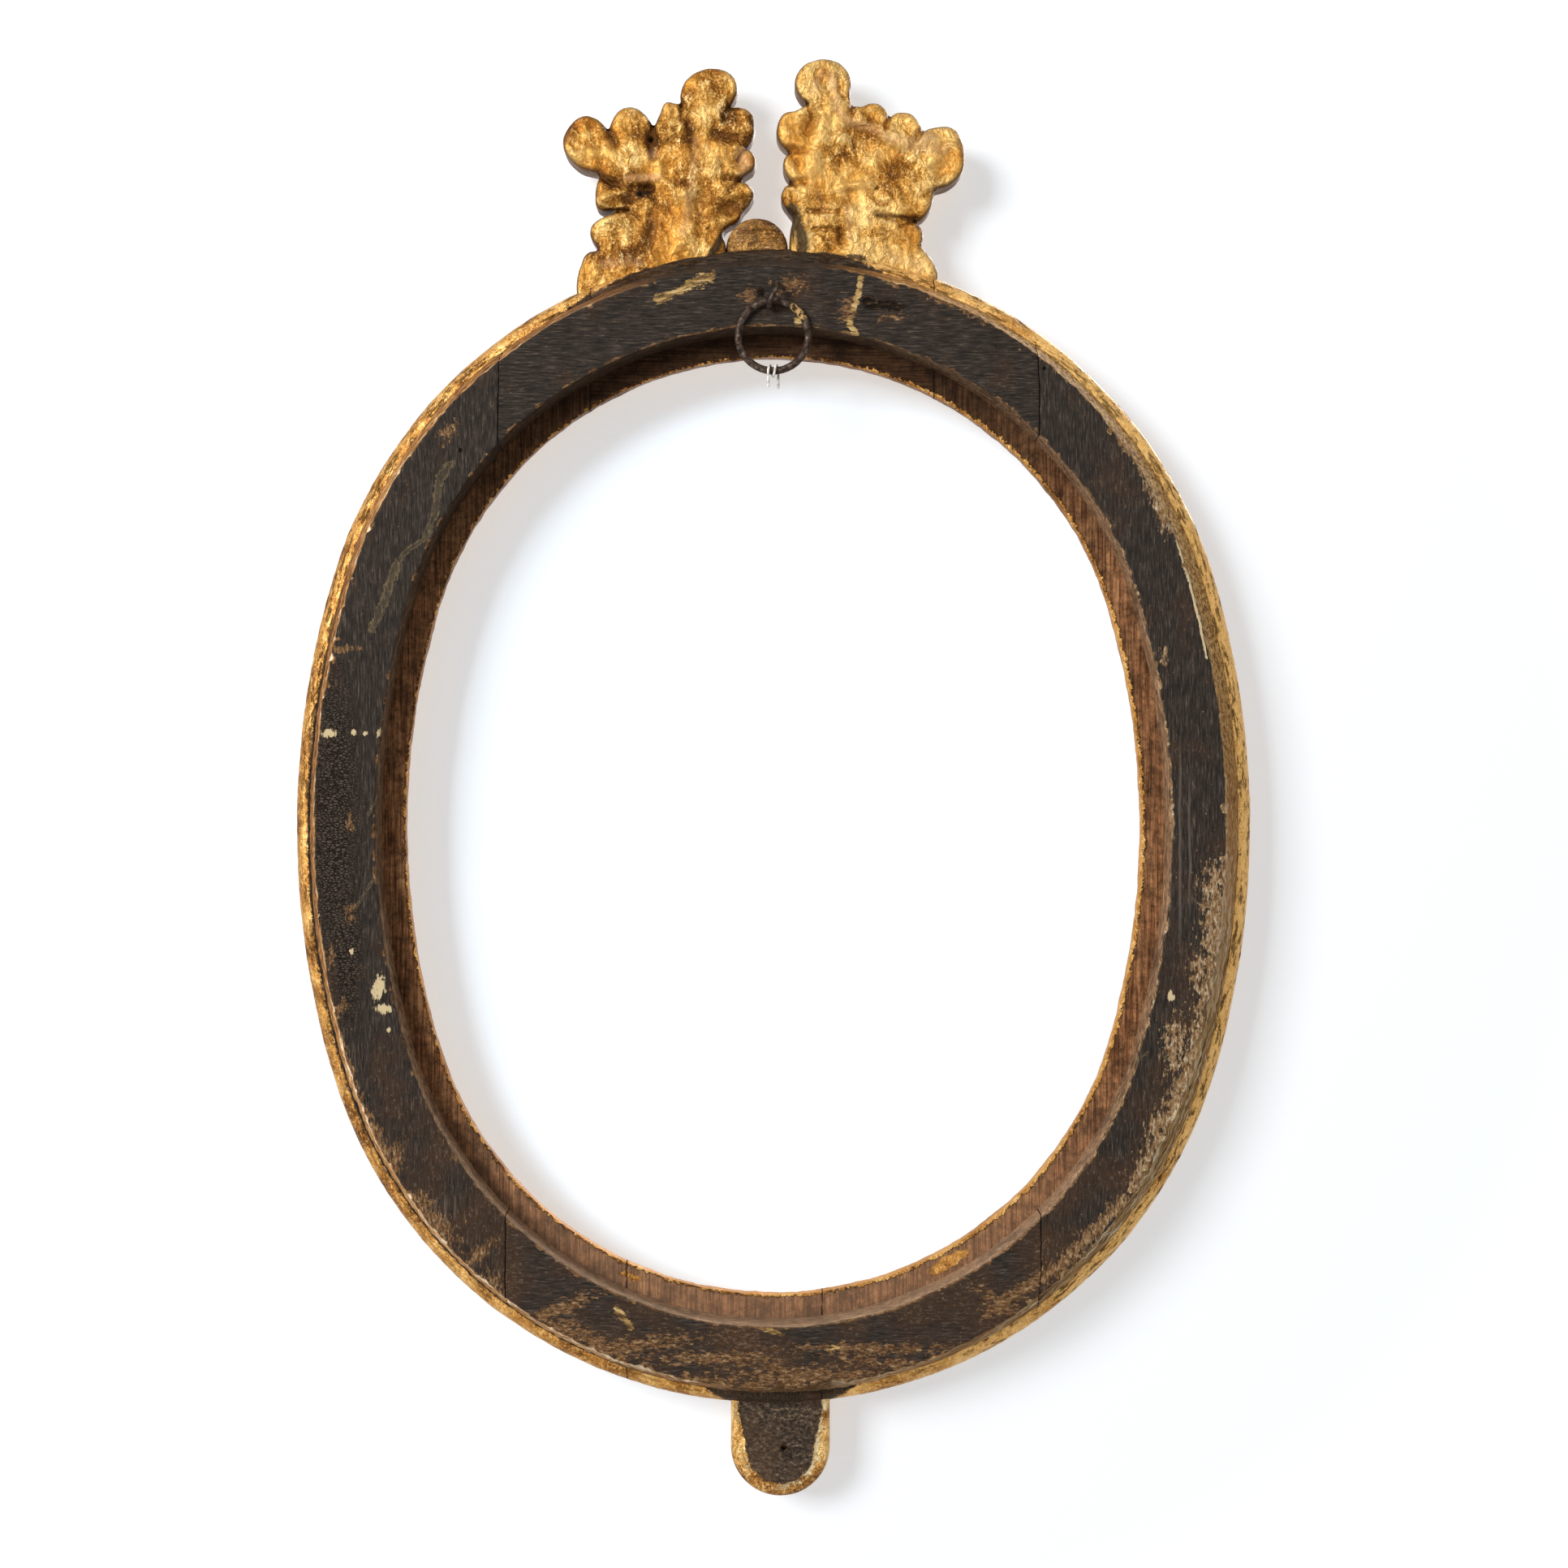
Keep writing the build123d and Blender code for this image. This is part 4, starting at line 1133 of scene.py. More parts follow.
@dataclass(frozen=True)
class FrontPly:
    """The four moulded gilt boards, whose bare back strip is the rabbet's ledge, in millimetres."""

    oval: Oval
    joints: Joints = Joints(-90.0, 79.0, -72.0, 24.0, 0.9)
    ledge: float = 18.0
    wall: float = 11.5
    seam_edge: float = 48.0
    rim_edge: float = 55.0
    rim_depth: float = 26.0
    shoulder_depth: float = 30.0
    shoulder: float = 1.8
    torus_inner: float = 30.7
    torus_top: float = 45.0
    torus_foot: float = 33.0
    cove_sag: float = 2.6
    bead: float = 6.5
    bead_height: float = 3.2
    lip_depth: float = 23.5
    gilt_edge: float = 46.6
    step: float = 1.5

    def ring(self) -> BMesh:
        """Draws the section and carries it round.

        Returns:
            The whole ring.
        """
        outer = self.rim_edge - self.shoulder
        inner = self.torus_inner - self.shoulder
        run, rise = self.rim_edge - self.seam_edge, self.rim_depth - self.ledge
        turn = (self.seam_edge + run * math.sin(math.pi / 4), self.ledge + rise * (1 - math.cos(math.pi / 4)))
        cove_middle = ((inner + self.bead) / 2, (self.torus_foot - self.shoulder + self.lip_depth) / 2 - self.cove_sag)
        return (
            Section(self.oval, 0, self.ledge)
            .line_to(self.seam_edge, self.ledge, 24).arc_to(turn, (self.rim_edge, self.rim_depth), 10)
            .line_to(self.rim_edge, self.shoulder_depth, 3).line_to(outer, self.shoulder_depth + self.shoulder, 2)
            .arc_to(((outer + self.torus_inner) / 2, self.torus_top), (self.torus_inner, self.torus_foot), 24)
            .line_to(inner, self.torus_foot - self.shoulder, 2).arc_to(cove_middle, (self.bead, self.lip_depth), 14)
            .arc_to((self.bead / 2, self.lip_depth + self.bead_height), (0, self.lip_depth), 8)
            .line_to(0, self.ledge, 4).carried_round(self.step)
        )

    def gilt_from(self, spot: Vector, out: Vector) -> float:
        """Gives how far out the gilding begins behind: further on the left, and nowhere where it was left bare."""
        gap = max(0.0, -out.x) * clamp((160 - spot.z) / 100)
        return self.gilt_edge + 2.0 * gap + 10 * ungilded(spot)

    def age(self, board: BMesh, side: Side) -> None:
        """Frays the sight edge, roughens the rim, and marks each point's place, relief and start of gilding, the relief
        also carrying painted shade and light.

        Args:
            board: The board.
            side: Which board it is.
        """
        across, relief, start, calm = (
            board.verts.layers.float.new(name) for name in ("across", "relief", "gilt_from", "calm"))
        run = board.verts.layers.float_vector.new("run")
        for v in board.verts:
            offset, out = self.oval.outward(v.co)
            depth, spot = v.co.y, v.co.copy()
            v[across], v[run] = offset, run_along(spot, offset, side)
            v[start] = self.gilt_from(spot, out)
            v[calm] = 1.0 if offset < self.torus_inner and depth > self.ledge + 1 else clamp((depth - 27) / 4, 0.35)
            slow, quick = noise.noise(spot / 26), noise.noise(spot / 5)
            fray = noise.noise(spot / 9) + 0.6 * noise.noise(spot / 2.6)
            sight = max(0.0, 1 - offset / 4)
            rim = max(0.0, 1 - abs(depth - 22) / 6) * max(0.0, 1 - abs(offset - 52) / 5)
            shift = 0.3 * slow + 0.12 * quick + 0.4 * sight * fray + 0.6 * rim * (noise.noise(spot / 3.2) - 0.6)
            v.co += out * min(shift, self.rim_edge - 0.02 - offset)
            if depth > self.ledge + 0.2:
                v.co.y += 0.18 * slow + 0.1 * quick - 0.25
            elif offset < self.wall + 1:
                v.co.y += 0.12 * quick
            grooves = ((self.rim_edge - 1, 1.3), (self.torus_inner - 1, 1.6), (self.bead, 1.2))
            dirt = max(math.exp(-((offset - at) / width) ** 2) for at, width in grooves)
            dirt *= depth > self.shoulder_depth
            crown = math.exp(-((offset - 42) / 6) ** 2) if depth > 38 else 0
            # Painted shade on the sight face at the top and left, and painted light on the right rim behind, both
            # carried in relief.
            shaded = (0.45 * max(0.0, -out.x) + 0.6 * max(0.0, out.z)) * (offset < 1.5)
            v[relief] = 0.6 * crown - 0.9 * dirt + 0.3 * slow - shaded
            if depth < 28 and offset > 44:
                v[relief] += 1.3 * max(0.0, out.x)

    def material(self, grain: Grain) -> Material:
        """Makes the boards' finish: gilt moulding and rim, bare ledge, black under the crest and over the tongue.

        Args:
            grain: Which way the boards' grain runs.

        Returns:
            The material.
        """
        made, tree, spot = new_material(f"leaf_gilding_on_softwood_{grain.name.lower()}")
        node = partial(add, tree)
        across, start, seam = (
            node("Attribute", attribute_name=name).outputs["Fac"] for name in ("across", "gilt_from", "seam"))
        fine = node("TexNoise", {"Vector": spot, "Scale": per_mm(3.0), "Detail": 5, "Roughness": 0.75})
        crumb = node("TexNoise", {"Vector": spot, "Scale": per_mm(8), "Detail": 6, "Roughness": 0.75})
        along, depth, up = node("SeparateXYZ", {0: spot}).outputs
        coat = Gilding(
            amber="#a8753a", gold="#cf9b53", pale="#f6c77d", wrinkle_mm=3.0, crease=0.7, speck=0.5, metal=0.4,
            swell=0.6).coat(tree, spot)
        wood = BareWood(grain, "#57361f", "#83593a", "#a0754f", 0.8).coat(tree, spot)
        # Painted light and shade: the ledge paler towards the bottom and darker towards the top.
        painted_lit_bottom = node("MapRange", (up, -0.12, -0.21, 0.0, 0.28))
        wood = wood.under(tree, Coat(linear("#9c7f67"), 0.8, fine), painted_lit_bottom)
        shade = node("MapRange", (up, 0.12, 0.21, 0.0, 0.8))
        wood = wood.under(tree, Coat(linear("#170d07"), 0.8, fine), shade)
        paint = BlackPaint(grain, body="#33291f", bloom="#4c3b2c", brown="#573b25").coat(tree, spot)
        outer = node("MapRange", (across, 30.0, 31.0))
        back = node("MapRange", (depth, (self.rim_depth + 0.5) * MM, (self.rim_depth - 1.5) * MM))
        behind = node("Math.MULTIPLY", (outer, back))
        fringe = node("Math.MULTIPLY_ADD", (fine, 7.0, -3.5))
        frayed = node("Math.ADD", (across, fringe))
        beyond = node("Math.SUBTRACT", (frayed, start))
        unlaid = node("MapRange", (beyond, 0.25, -0.25))
        coat = coat.under(tree, paint, node("Math.MULTIPLY", (unlaid, behind)))
        run = node("Attribute", attribute_name="run").outputs["Vector"]
        lined = node("Mapping", {"Vector": run, "Scale": (1.0, 1.0, 0.3)})
        crack = node("TexNoise", {"Vector": lined, "Scale": per_mm(2.2), "Detail": 6, "Roughness": 0.75})
        grubby = node("MapRange", (crack, 0.46, 0.39, 0.0, 0.75))
        aloft = node("MapRange", (up, -0.06, 0.08, 0.5, 1.0))
        aright = node("MapRange", (along, 0.05, 0.12))
        exposed = node("Math.MAXIMUM", (aloft, aright))
        grubby = node("Math.MULTIPLY", (grubby, exposed))
        grub = node("Math.MULTIPLY", (grubby, behind))
        coat = coat.under(tree, Coat(linear("#553718"), 0.8, -0.3), grub)
        close = node("Math.ABSOLUTE", (beyond,))
        line = node("MapRange", (close, 1.3, 0.5))
        here = node("MapRange", (crumb, 0.53, 0.6))
        flaked = node("Math.MULTIPLY", (line, here))
        chalk = BrokenEdge().coat(tree, spot)
        coat = coat.under(tree, chalk, node("Math.MULTIPLY", (flaked, behind)))
        relief = node("Attribute", attribute_name="relief").outputs["Fac"]
        crest = node("Math.MULTIPLY_ADD", (crumb, 1.6, relief))
        thin = node("MapRange", (crest, 1.36, 1.62, 0.0, 0.65))
        front = node("MapRange", (depth, self.shoulder_depth * MM, (self.shoulder_depth + 4) * MM))
        bole = Coat(linear("#95562e"), 0.5, fine, 0.15)
        coat = coat.under(tree, bole, node("Math.MULTIPLY", (thin, front)))
        flat = node("MapRange", (depth, (self.ledge + 0.9) * MM, (self.ledge + 0.5) * MM))
        wider = node("MapRange", (along, 0.0, 0.1, 0.0, 0.9))
        kept = node("Math.SUBTRACT", (across, wider))
        lip = node("Math.MULTIPLY_ADD", (fringe, 1.1, kept))
        within = node("MapRange", (across, self.wall + 2.5, self.wall + 1.5))
        bare = node("Math.MULTIPLY", (within, flat))
        smear = patch_mask(tree, spot, (Patch(86, -214, 12, 3.2, -32), Patch(-70, -221, 5, 1.6, 14)), ragged=1.6)
        shelf = node("Math.SUBTRACT", (bare, smear), use_clamp=True)
        for over, begins in ((Coat(linear("#2e1d10"), 0.8, fine), 0.5), (wood, 0.9)):
            reach = node("MapRange", (lip, begins, begins + 0.4))
            coat = coat.under(tree, over, node("Math.MULTIPLY", (reach, shelf)))
        cut = node("MapRange", (seam, 0.35, 0.8, 0.0, 0.8))
        coat.under(tree, Coat(linear("#1b120b"), 0.9, -0.4), cut).material(tree)
        return made

    def build(self) -> None:
        """Builds and dresses the four boards."""
        ring = self.ring()
        finishes = {grain: self.material(grain) for grain in Grain}
        for side in Side:
            board = self.joints.board(ring, side)
            self.age(board, side)
            grain = Grain.LEVEL if side is Side.TOP else Grain.UPRIGHT
            name = side.name.lower()
            as_object(f"{name}_gilt_moulding", board, finishes[grain], "frame", [f"front_{name}"])
        ring.free()


@dataclass(frozen=True)
class CarvedLeaf:
    """A fretted gilt leaf of round lobes, hollowed behind and veined in front, in millimetres.

    The outline's points are X and Z, with a 1 after those that are sharp notches.
    """

    name: str
    node: str
    outline: tuple[tuple[float, ...], ...]
    lobes: tuple[tuple[float, float, float], ...]
    behind: tuple[Stroke, ...]
    root: Point
    rubbed: tuple[Stroke, ...]
    black_and_shade: tuple[Stroke, ...]
    back: float = 21.0
    front: float = 39.0
    round_edge: float = 3.6
    voxel: float = 0.75
    tone: float = 0.0
    crease_above: float = 288.0
    crease_long: float = 8.0
    pale_above: float = 345.0

    def fretted(self) -> Mesh:
        """Draws the outline as one smooth line with sharp notches.

        Returns:
            The outline, as a mesh of edges.
        """
        curve = bpy.data.curves.new("outline", "CURVE")
        curve.dimensions, curve.resolution_u = "3D", 6
        line = curve.splines.new("BEZIER")
        line.bezier_points.add(len(self.outline) - 1)
        line.use_cyclic_u = True
        for at, (x, z, *notch) in zip(line.bezier_points, self.outline):
            at.co = (x, self.back, z)
            at.handle_left_type = at.handle_right_type = "VECTOR" if notch else "AUTO"
        drawn = placed("outline", curve)
        mesh = bpy.data.meshes.new_from_object(drawn.evaluated_get(bpy.context.evaluated_depsgraph_get()))
        bpy.data.objects.remove(drawn)
        bpy.data.curves.remove(curve)
        return mesh

    def blank(self, outline: Mesh) -> BMesh:
        """Saws the blank along the outline.

        Args:
            outline: The outline, as a mesh of edges.

        Returns:
            The blank, in even small faces.
        """
        mesh = bmesh.new()
        mesh.from_mesh(outline)
        bmesh.ops.remove_doubles(mesh, verts=mesh.verts, dist=TOUCH)
        bmesh.ops.contextual_create(mesh, geom=mesh.edges[:])
        thicken(mesh, self.front - self.back)
        return fused(mesh, self.voxel, smoothing=3)

    def inset(self, outline: Mesh, spots: np.ndarray) -> np.ndarray:
        """Measures how far many (x, z) points lie from the outline."""
        lines = [[np.array(outline.vertices[i].co.xz) for i in edge.vertices] for edge in outline.edges]
        return reduce(np.minimum, (far_from(spots, *ends) for ends in lines))

    def front_strokes(self) -> list[Stroke]:
        """Draws a plain vein pattern for the front.

        Returns:
            A vein from the root to every lobe, and a dome on each lobe.
        """
        strokes = []
        for x, z, radius in self.lobes:
            bend = (0.55 * self.root[0] + 0.45 * x, self.root[1] + 0.62 * (z - self.root[1]))
            strokes += [Stroke(((x, z),), radius * 1.1, 2.2), Stroke((self.root, bend, (x, z)), 2.4, -2.2)]
        return strokes

    def creases(self) -> list[Stroke]:
        """Draws the cuts that part the lobes.

        Returns:
            A narrow cut from every upper notch towards the root.
        """
        cuts = []
        for x, z, *_ in (point for point in self.outline if len(point) > 2 and point[1] > self.crease_above):
            way = Vector((self.root[0] - x, self.root[1] - z)).normalized()
            end = (x + self.crease_long * way.x, z + self.crease_long * way.y)
            cuts.append(Stroke(((x, z), end), 1.6, -1.3))
        return cuts

    def back_height(self, spots: np.ndarray) -> np.ndarray:
        """Gives how far the carved back stands out.

        Args:
            spots: Many (x, z) points.

        Returns:
            The height at each of them.
        """
        cut = sum(stroke.height_at(spots) for stroke in (*self.behind, *self.creases()))
        chisel = np.array([
            1.1 * noise.noise(Vector((x, 3, z)) / 13)
            + 1.7 * (noise.voronoi(Vector((x + 0.4 * z, 7, 0.6 * z)) / 9)[0][0] ** 2 - 0.2)
            + 0.75 * noise.noise(Vector((x + 0.3 * z, 9, 0.6 * z)) / 4.2) + 0.3 * noise.noise(Vector((x, 0, z)) / 1.9)
            for x, z in spots
        ])
        return cut + chisel

    def carve(self, mesh: BMesh, outline: Mesh) -> None:
        """Rounds the blank's edges, cuts its back and front, and marks each point's relief, wear and turn, relief and
        turn also carrying painted shade in hollows and on turned edges.

        Args:
            mesh: The blank.
            outline: The outline, as a mesh of edges.
        """
        relief, side, bare, black, calm = (
            mesh.verts.layers.float.new(name) for name in ("relief", "side", "rubbed", "black_and_shade", "calm"))
        spots = np.array([(v.co.x, v.co.z) for v in mesh.verts])
        rubbed, black_and_shade_mask = (
            np.max([stroke.height_at(spots) for stroke in strokes], axis=0) for strokes in (self.rubbed, self.black_and_shade))
        inset = np.clip(self.inset(outline, spots), 0, self.round_edge)
        half, middle = (self.front - self.back) / 2, (self.front + self.back) / 2
        eased = half - self.round_edge + np.sqrt(self.round_edge ** 2 - (self.round_edge - inset) ** 2)
        hollow = self.back_height(spots)
        veins = np.clip(sum(stroke.height_at(spots) for stroke in self.front_strokes()), -2.6, 3.0)
        for v, thick, low, high, pale, dark in zip(mesh.verts, eased, hollow, veins, rubbed, black_and_shade_mask):
            share = (v.co.y - self.back) / (self.front - self.back)
            behind, before = clamp(1 - 1.9 * share), clamp(1.9 * share - 0.9)
            v[bare], v[black] = behind * pale, behind * dark
            v[relief] = behind * low / 3 + before * high / 3.2 + self.tone
            v[relief] += max(0.0, v.co.z - self.pale_above) / 45
            v[calm] = max(0.85 * before, min(0.7, 0.25 + 0.9 * noise.noise(v.co / 15)))
            v.co.y = middle + (v.co.y - middle) * thick / half + before * high - behind * low
        mesh.normal_update()
        # Painted shade: side grows where the surface turns away from the back and near the outline, and darkens the
        # gilding there.
        for v, deep in zip(mesh.verts, inset):
            v[side] = max(1 - abs(v.normal.y), math.exp(-(deep / 1.3) ** 2))

    def build(self, material: Material) -> None:
        """Builds and dresses the leaf.

        Args:
            material: Its finish.
        """
        outline = self.fretted()
        leaf = self.blank(outline)
        self.carve(leaf, outline)
        bpy.data.meshes.remove(outline)
        as_object(self.name, leaf, material, "frame", [self.node], sharp=80)


PLUG_AT: Point = (54.5, 311.0)
LEFT_LEAF = CarvedLeaf(
    "left_crest_leaf", "crest_left",
    (
        (-97.2, 263.2), (-94.8, 277.6), (-92, 282.8), (-86.4, 284.4, 1), (-90.6, 294), (-83.6, 300.4),
        (-71.6, 304, 1), (-78.8, 304), (-86.4, 304.4), (-88, 309.6), (-86, 322, 1), (-97.6, 326),
        (-104, 336.4), (-100.8, 345.6), (-94, 350.4), (-87, 348.8), (-81.6, 344, 1), (-78.4, 350.4),
        (-74.8, 354), (-68, 354.4), (-63.2, 351.2), (-59.2, 345.2, 1), (-56.4, 351.2), (-53.2, 356.8),
        (-48.8, 356.8), (-45.6, 356, 1), (-46, 361.6), (-42.6, 368.8), (-34, 373.6), (-26.4, 373.6),
        (-19.6, 369.4), (-17.6, 364), (-19.6, 358), (-22, 354.8, 1), (-15.2, 354.4), (-10.4, 351.2),
        (-9.2, 346.4), (-10.4, 339.6), (-13.2, 334.8, 1), (-9.2, 330.4), (-9.6, 324.4), (-13.6, 321.2),
        (-16.8, 318.8, 1), (-12, 316.2), (-9.6, 312.8), (-11.2, 308), (-14.8, 303.6), (-17.2, 299),
        (-24.6, 293.4), (-23.4, 286, 1), (-24, 271, 1), (-92, 249, 1),
    ),
    (
        (-31.6, 360.5, 13.8), (-17.2, 345.9, 8.3), (-17.2, 327.2, 7.8), (-17.2, 310.5, 7.0), (-51.2, 348.5, 7.4),
        (-71.2, 343.9, 10.6), (-92.0, 337.2, 12.0), (-79.2, 311.9, 8.3), (-81.2, 293.9, 9.0),
    ),
    (
        Stroke(((-59.2, 348), (-60.4, 338.8), (-59.2, 329.2)), 3, -1.7), Stroke(((-60.4, 338.8),), 1.7, -3.5),
        Stroke(((-54.4, 338.8),), 4.5, 1.6),
        Stroke(((-99, 330.4), (-82, 332), (-75, 325), (-71, 318.4), (-57, 319.6)), 4.5, 1.4),
        Stroke(((-88, 321), (-73.2, 314.5), (-60, 315)), 3.2, -2.0), Stroke(((-85.6, 308.4), (-74, 314)), 4, 1.8),
        Stroke(((-72, 309), (-62, 313)), 4.5, -2.2), Stroke(((-65.2, 311.6),), 1.8, -2.6),
        Stroke(((-28, 340.8), (-13.2, 337.2)), 4.5, -1.8), Stroke(((-26, 333.2), (-31.6, 319.6)), 4, 1.5),
        Stroke(((-16.8, 327.2),), 7, -0.9), Stroke(((-13.2, 312.8),), 4.5, 1.4),
        Stroke(((-14, 307), (-24.8, 303.5)), 6, -1.8),
        Stroke(((-37.6, 309.2), (-36.4, 301)), 6, -1.6), Stroke(((-30, 354.4), (-34, 341.2)), 7, 1.0),
        Stroke(((-41.2, 331.2), (-43.2, 287.2)), 9, 1.0), Stroke(((-58.8, 309), (-61.2, 287)), 4.5, -1.6),
        Stroke(((-14, 319), (-24, 319.5)), 2.5, -2), Stroke(((-44.6, 353.5), (-41, 343)), 3.5, -1.8),
        Stroke(((-81.5, 344), (-78, 336)), 3.5, -1.6), Stroke(((-99.7, 338.8),), 3, 0.9),
    ),
    (-46.0, 284.0),
    (
        Stroke(((-15.5, 331), (-13, 322)), 7), Stroke(((-72, 319), (-57, 319.5)), 4), Stroke(((-60, 331),), 6),
        Stroke(((-38, 338), (-41, 310), (-44, 292)), 5, 0.7), Stroke(((-84, 277), (-66, 278)), 5, 0.8),
        Stroke(((-70, 351),), 5, 0.7), Stroke(((-100, 338),), 5, 0.6),
    ),
    # Painted shade: near-black beside the boss and in two deep hollows.
    (Stroke(((-31, 280), (-25, 291)), 4), Stroke(((-60, 339),), 2.2), Stroke(((-67, 311.8), (-61, 313)), 2.2)),
    tone=-0.1,
)
RIGHT_LEAF = CarvedLeaf(
    "right_crest_leaf", "crest_right",
    (
        (7.6, 284, 1), (8.2, 293.6), (9.2, 300.4), (7.2, 303.2, 1), (3.8, 308.8), (4.8, 314.4),
        (8.4, 318, 1), (5.2, 322.8), (4.8, 328), (7.6, 332.8, 1), (2.4, 338), (1.6, 344.8), (5.2, 351.8),
        (10.8, 353.2), (16.8, 356.4, 1), (13, 359.6), (10.4, 366.4), (13.6, 374), (21.6, 378),
        (29.2, 378), (36, 373.2), (38.4, 367.2), (37.6, 359.6), (39.2, 356, 1), (42.8, 355.2), (49, 357),
        (54.4, 354.8), (57.2, 350.4, 1), (62.8, 352.4), (68, 351.6), (72, 347.2), (74, 343.6, 1),
        (81.2, 345.2), (88.8, 344), (93.4, 337.2), (94.4, 330.4), (92.6, 322), (87.2, 316.6),
        (79.6, 314, 1), (78.8, 309.6), (77.2, 304.4), (73.6, 300), (69.6, 298.6, 1), (73.6, 294.4),
        (74, 291.2), (72.8, 286.8, 1), (76.4, 282), (80, 276), (81.2, 271.2), (78, 257, 1), (8, 270, 1),
    ),
    (
        (24.4, 364.8, 14.0), (11.5, 344.5, 10.0), (12.8, 325.2, 7.8), (12.1, 310.5, 8.0), (48.1, 349.2, 8.0),
        (64.8, 344.5, 8.2), (80.1, 329.5, 14.6), (70.1, 308.5, 9.3),
    ),
    (
        Stroke(((32.8, 368), (33.2, 362.4), (35.2, 358.4)), 2.4, -1.9),
        Stroke(((28.6, 372), (30.8, 361.2), (33.8, 353.6), (36.8, 350)), 3.6, 1.1),
        Stroke(((32.4, 346.8), (41.2, 348.4), (48.4, 344.8), (56, 339.6), (63.2, 336), (76.8, 338)), 5, 1.5),
        Stroke(((42.8, 338), (56.8, 328), (70.8, 324)), 12, -1.5), Stroke(((38.8, 331), (50.8, 322)), 16, -1.4),
        Stroke(((23.2, 352), (16, 343.2)), 4.5, -1.4), Stroke(((26.4, 353.6), (22, 336), (18.4, 324)), 6, 1.6),
        Stroke(((32.8, 314.4), (40.8, 315.6), (48.4, 315.2)), 3, 1.4), Stroke(((38, 309.5),), 6, -1.4),
        Stroke(((51.6, 301.2), (60.8, 299.2), (71, 299.6)), 2.0, -2.2), Stroke(((17, 302.8), (32, 302.8)), 1.6, -1.5),
        Stroke(((20, 294), (32, 294)), 1.6, -1.5), Stroke(((32.4, 303), (33, 288)), 1.8, -1.0),
        Stroke(((80.4, 338), (89.2, 337.2), (92, 331.2)), 2, 0.8), Stroke(((82.4, 322.8),), 7, -2.0),
        Stroke(((7.6, 333.8), (15, 332.4)), 3, -2.0), Stroke(((8.4, 317), (15.6, 317.4)), 3, -2.0),
        Stroke(((57.2, 350.4), (55.6, 345.2)), 2.6, -1.5), Stroke(((39.2, 356), (37.6, 350.4)), 3, -1.8),
        Stroke(((74, 343.6), (70.8, 339.2)), 3, -1.5), Stroke(((52, 296), (70, 291)), 5, 1.0),
        Stroke(tuple(
            (PLUG_AT[0] + 5 * math.cos(a), PLUG_AT[1] + 5 * math.sin(a)) for a in np.linspace(0, 2 * math.pi, 25)
        ), 0.9, -1.3),
    ),
    (40.0, 284.0),
    (
        Stroke(
            ((28, 370), (31, 354.4), (35.5, 347.6), (47.6, 344.4), (56.4, 338.8), (65.5, 336.5), (78.8, 338.8)), 4.5),
        Stroke(((20, 362), (24, 372)), 5, 0.8), Stroke(((22, 311), (26, 300)), 5, 0.6),
        Stroke(((36, 305), (38, 290)), 4, 0.7), Stroke(((68, 335), (84, 333)), 6, 0.8),
        Stroke(((60, 280), (72, 276)), 7, 0.6),
    ),
    # Black paint on the leaf's foot and beside the boss, and painted shade in the low groove.
    (
        Stroke(((8.5, 304), (12, 294), (14, 284)), 7), Stroke(((22, 281), (44, 279)), 3.5),
        Stroke(((51, 301), (66, 300)), 2.5, 0.7),
    ),
    tone=0.45,
)


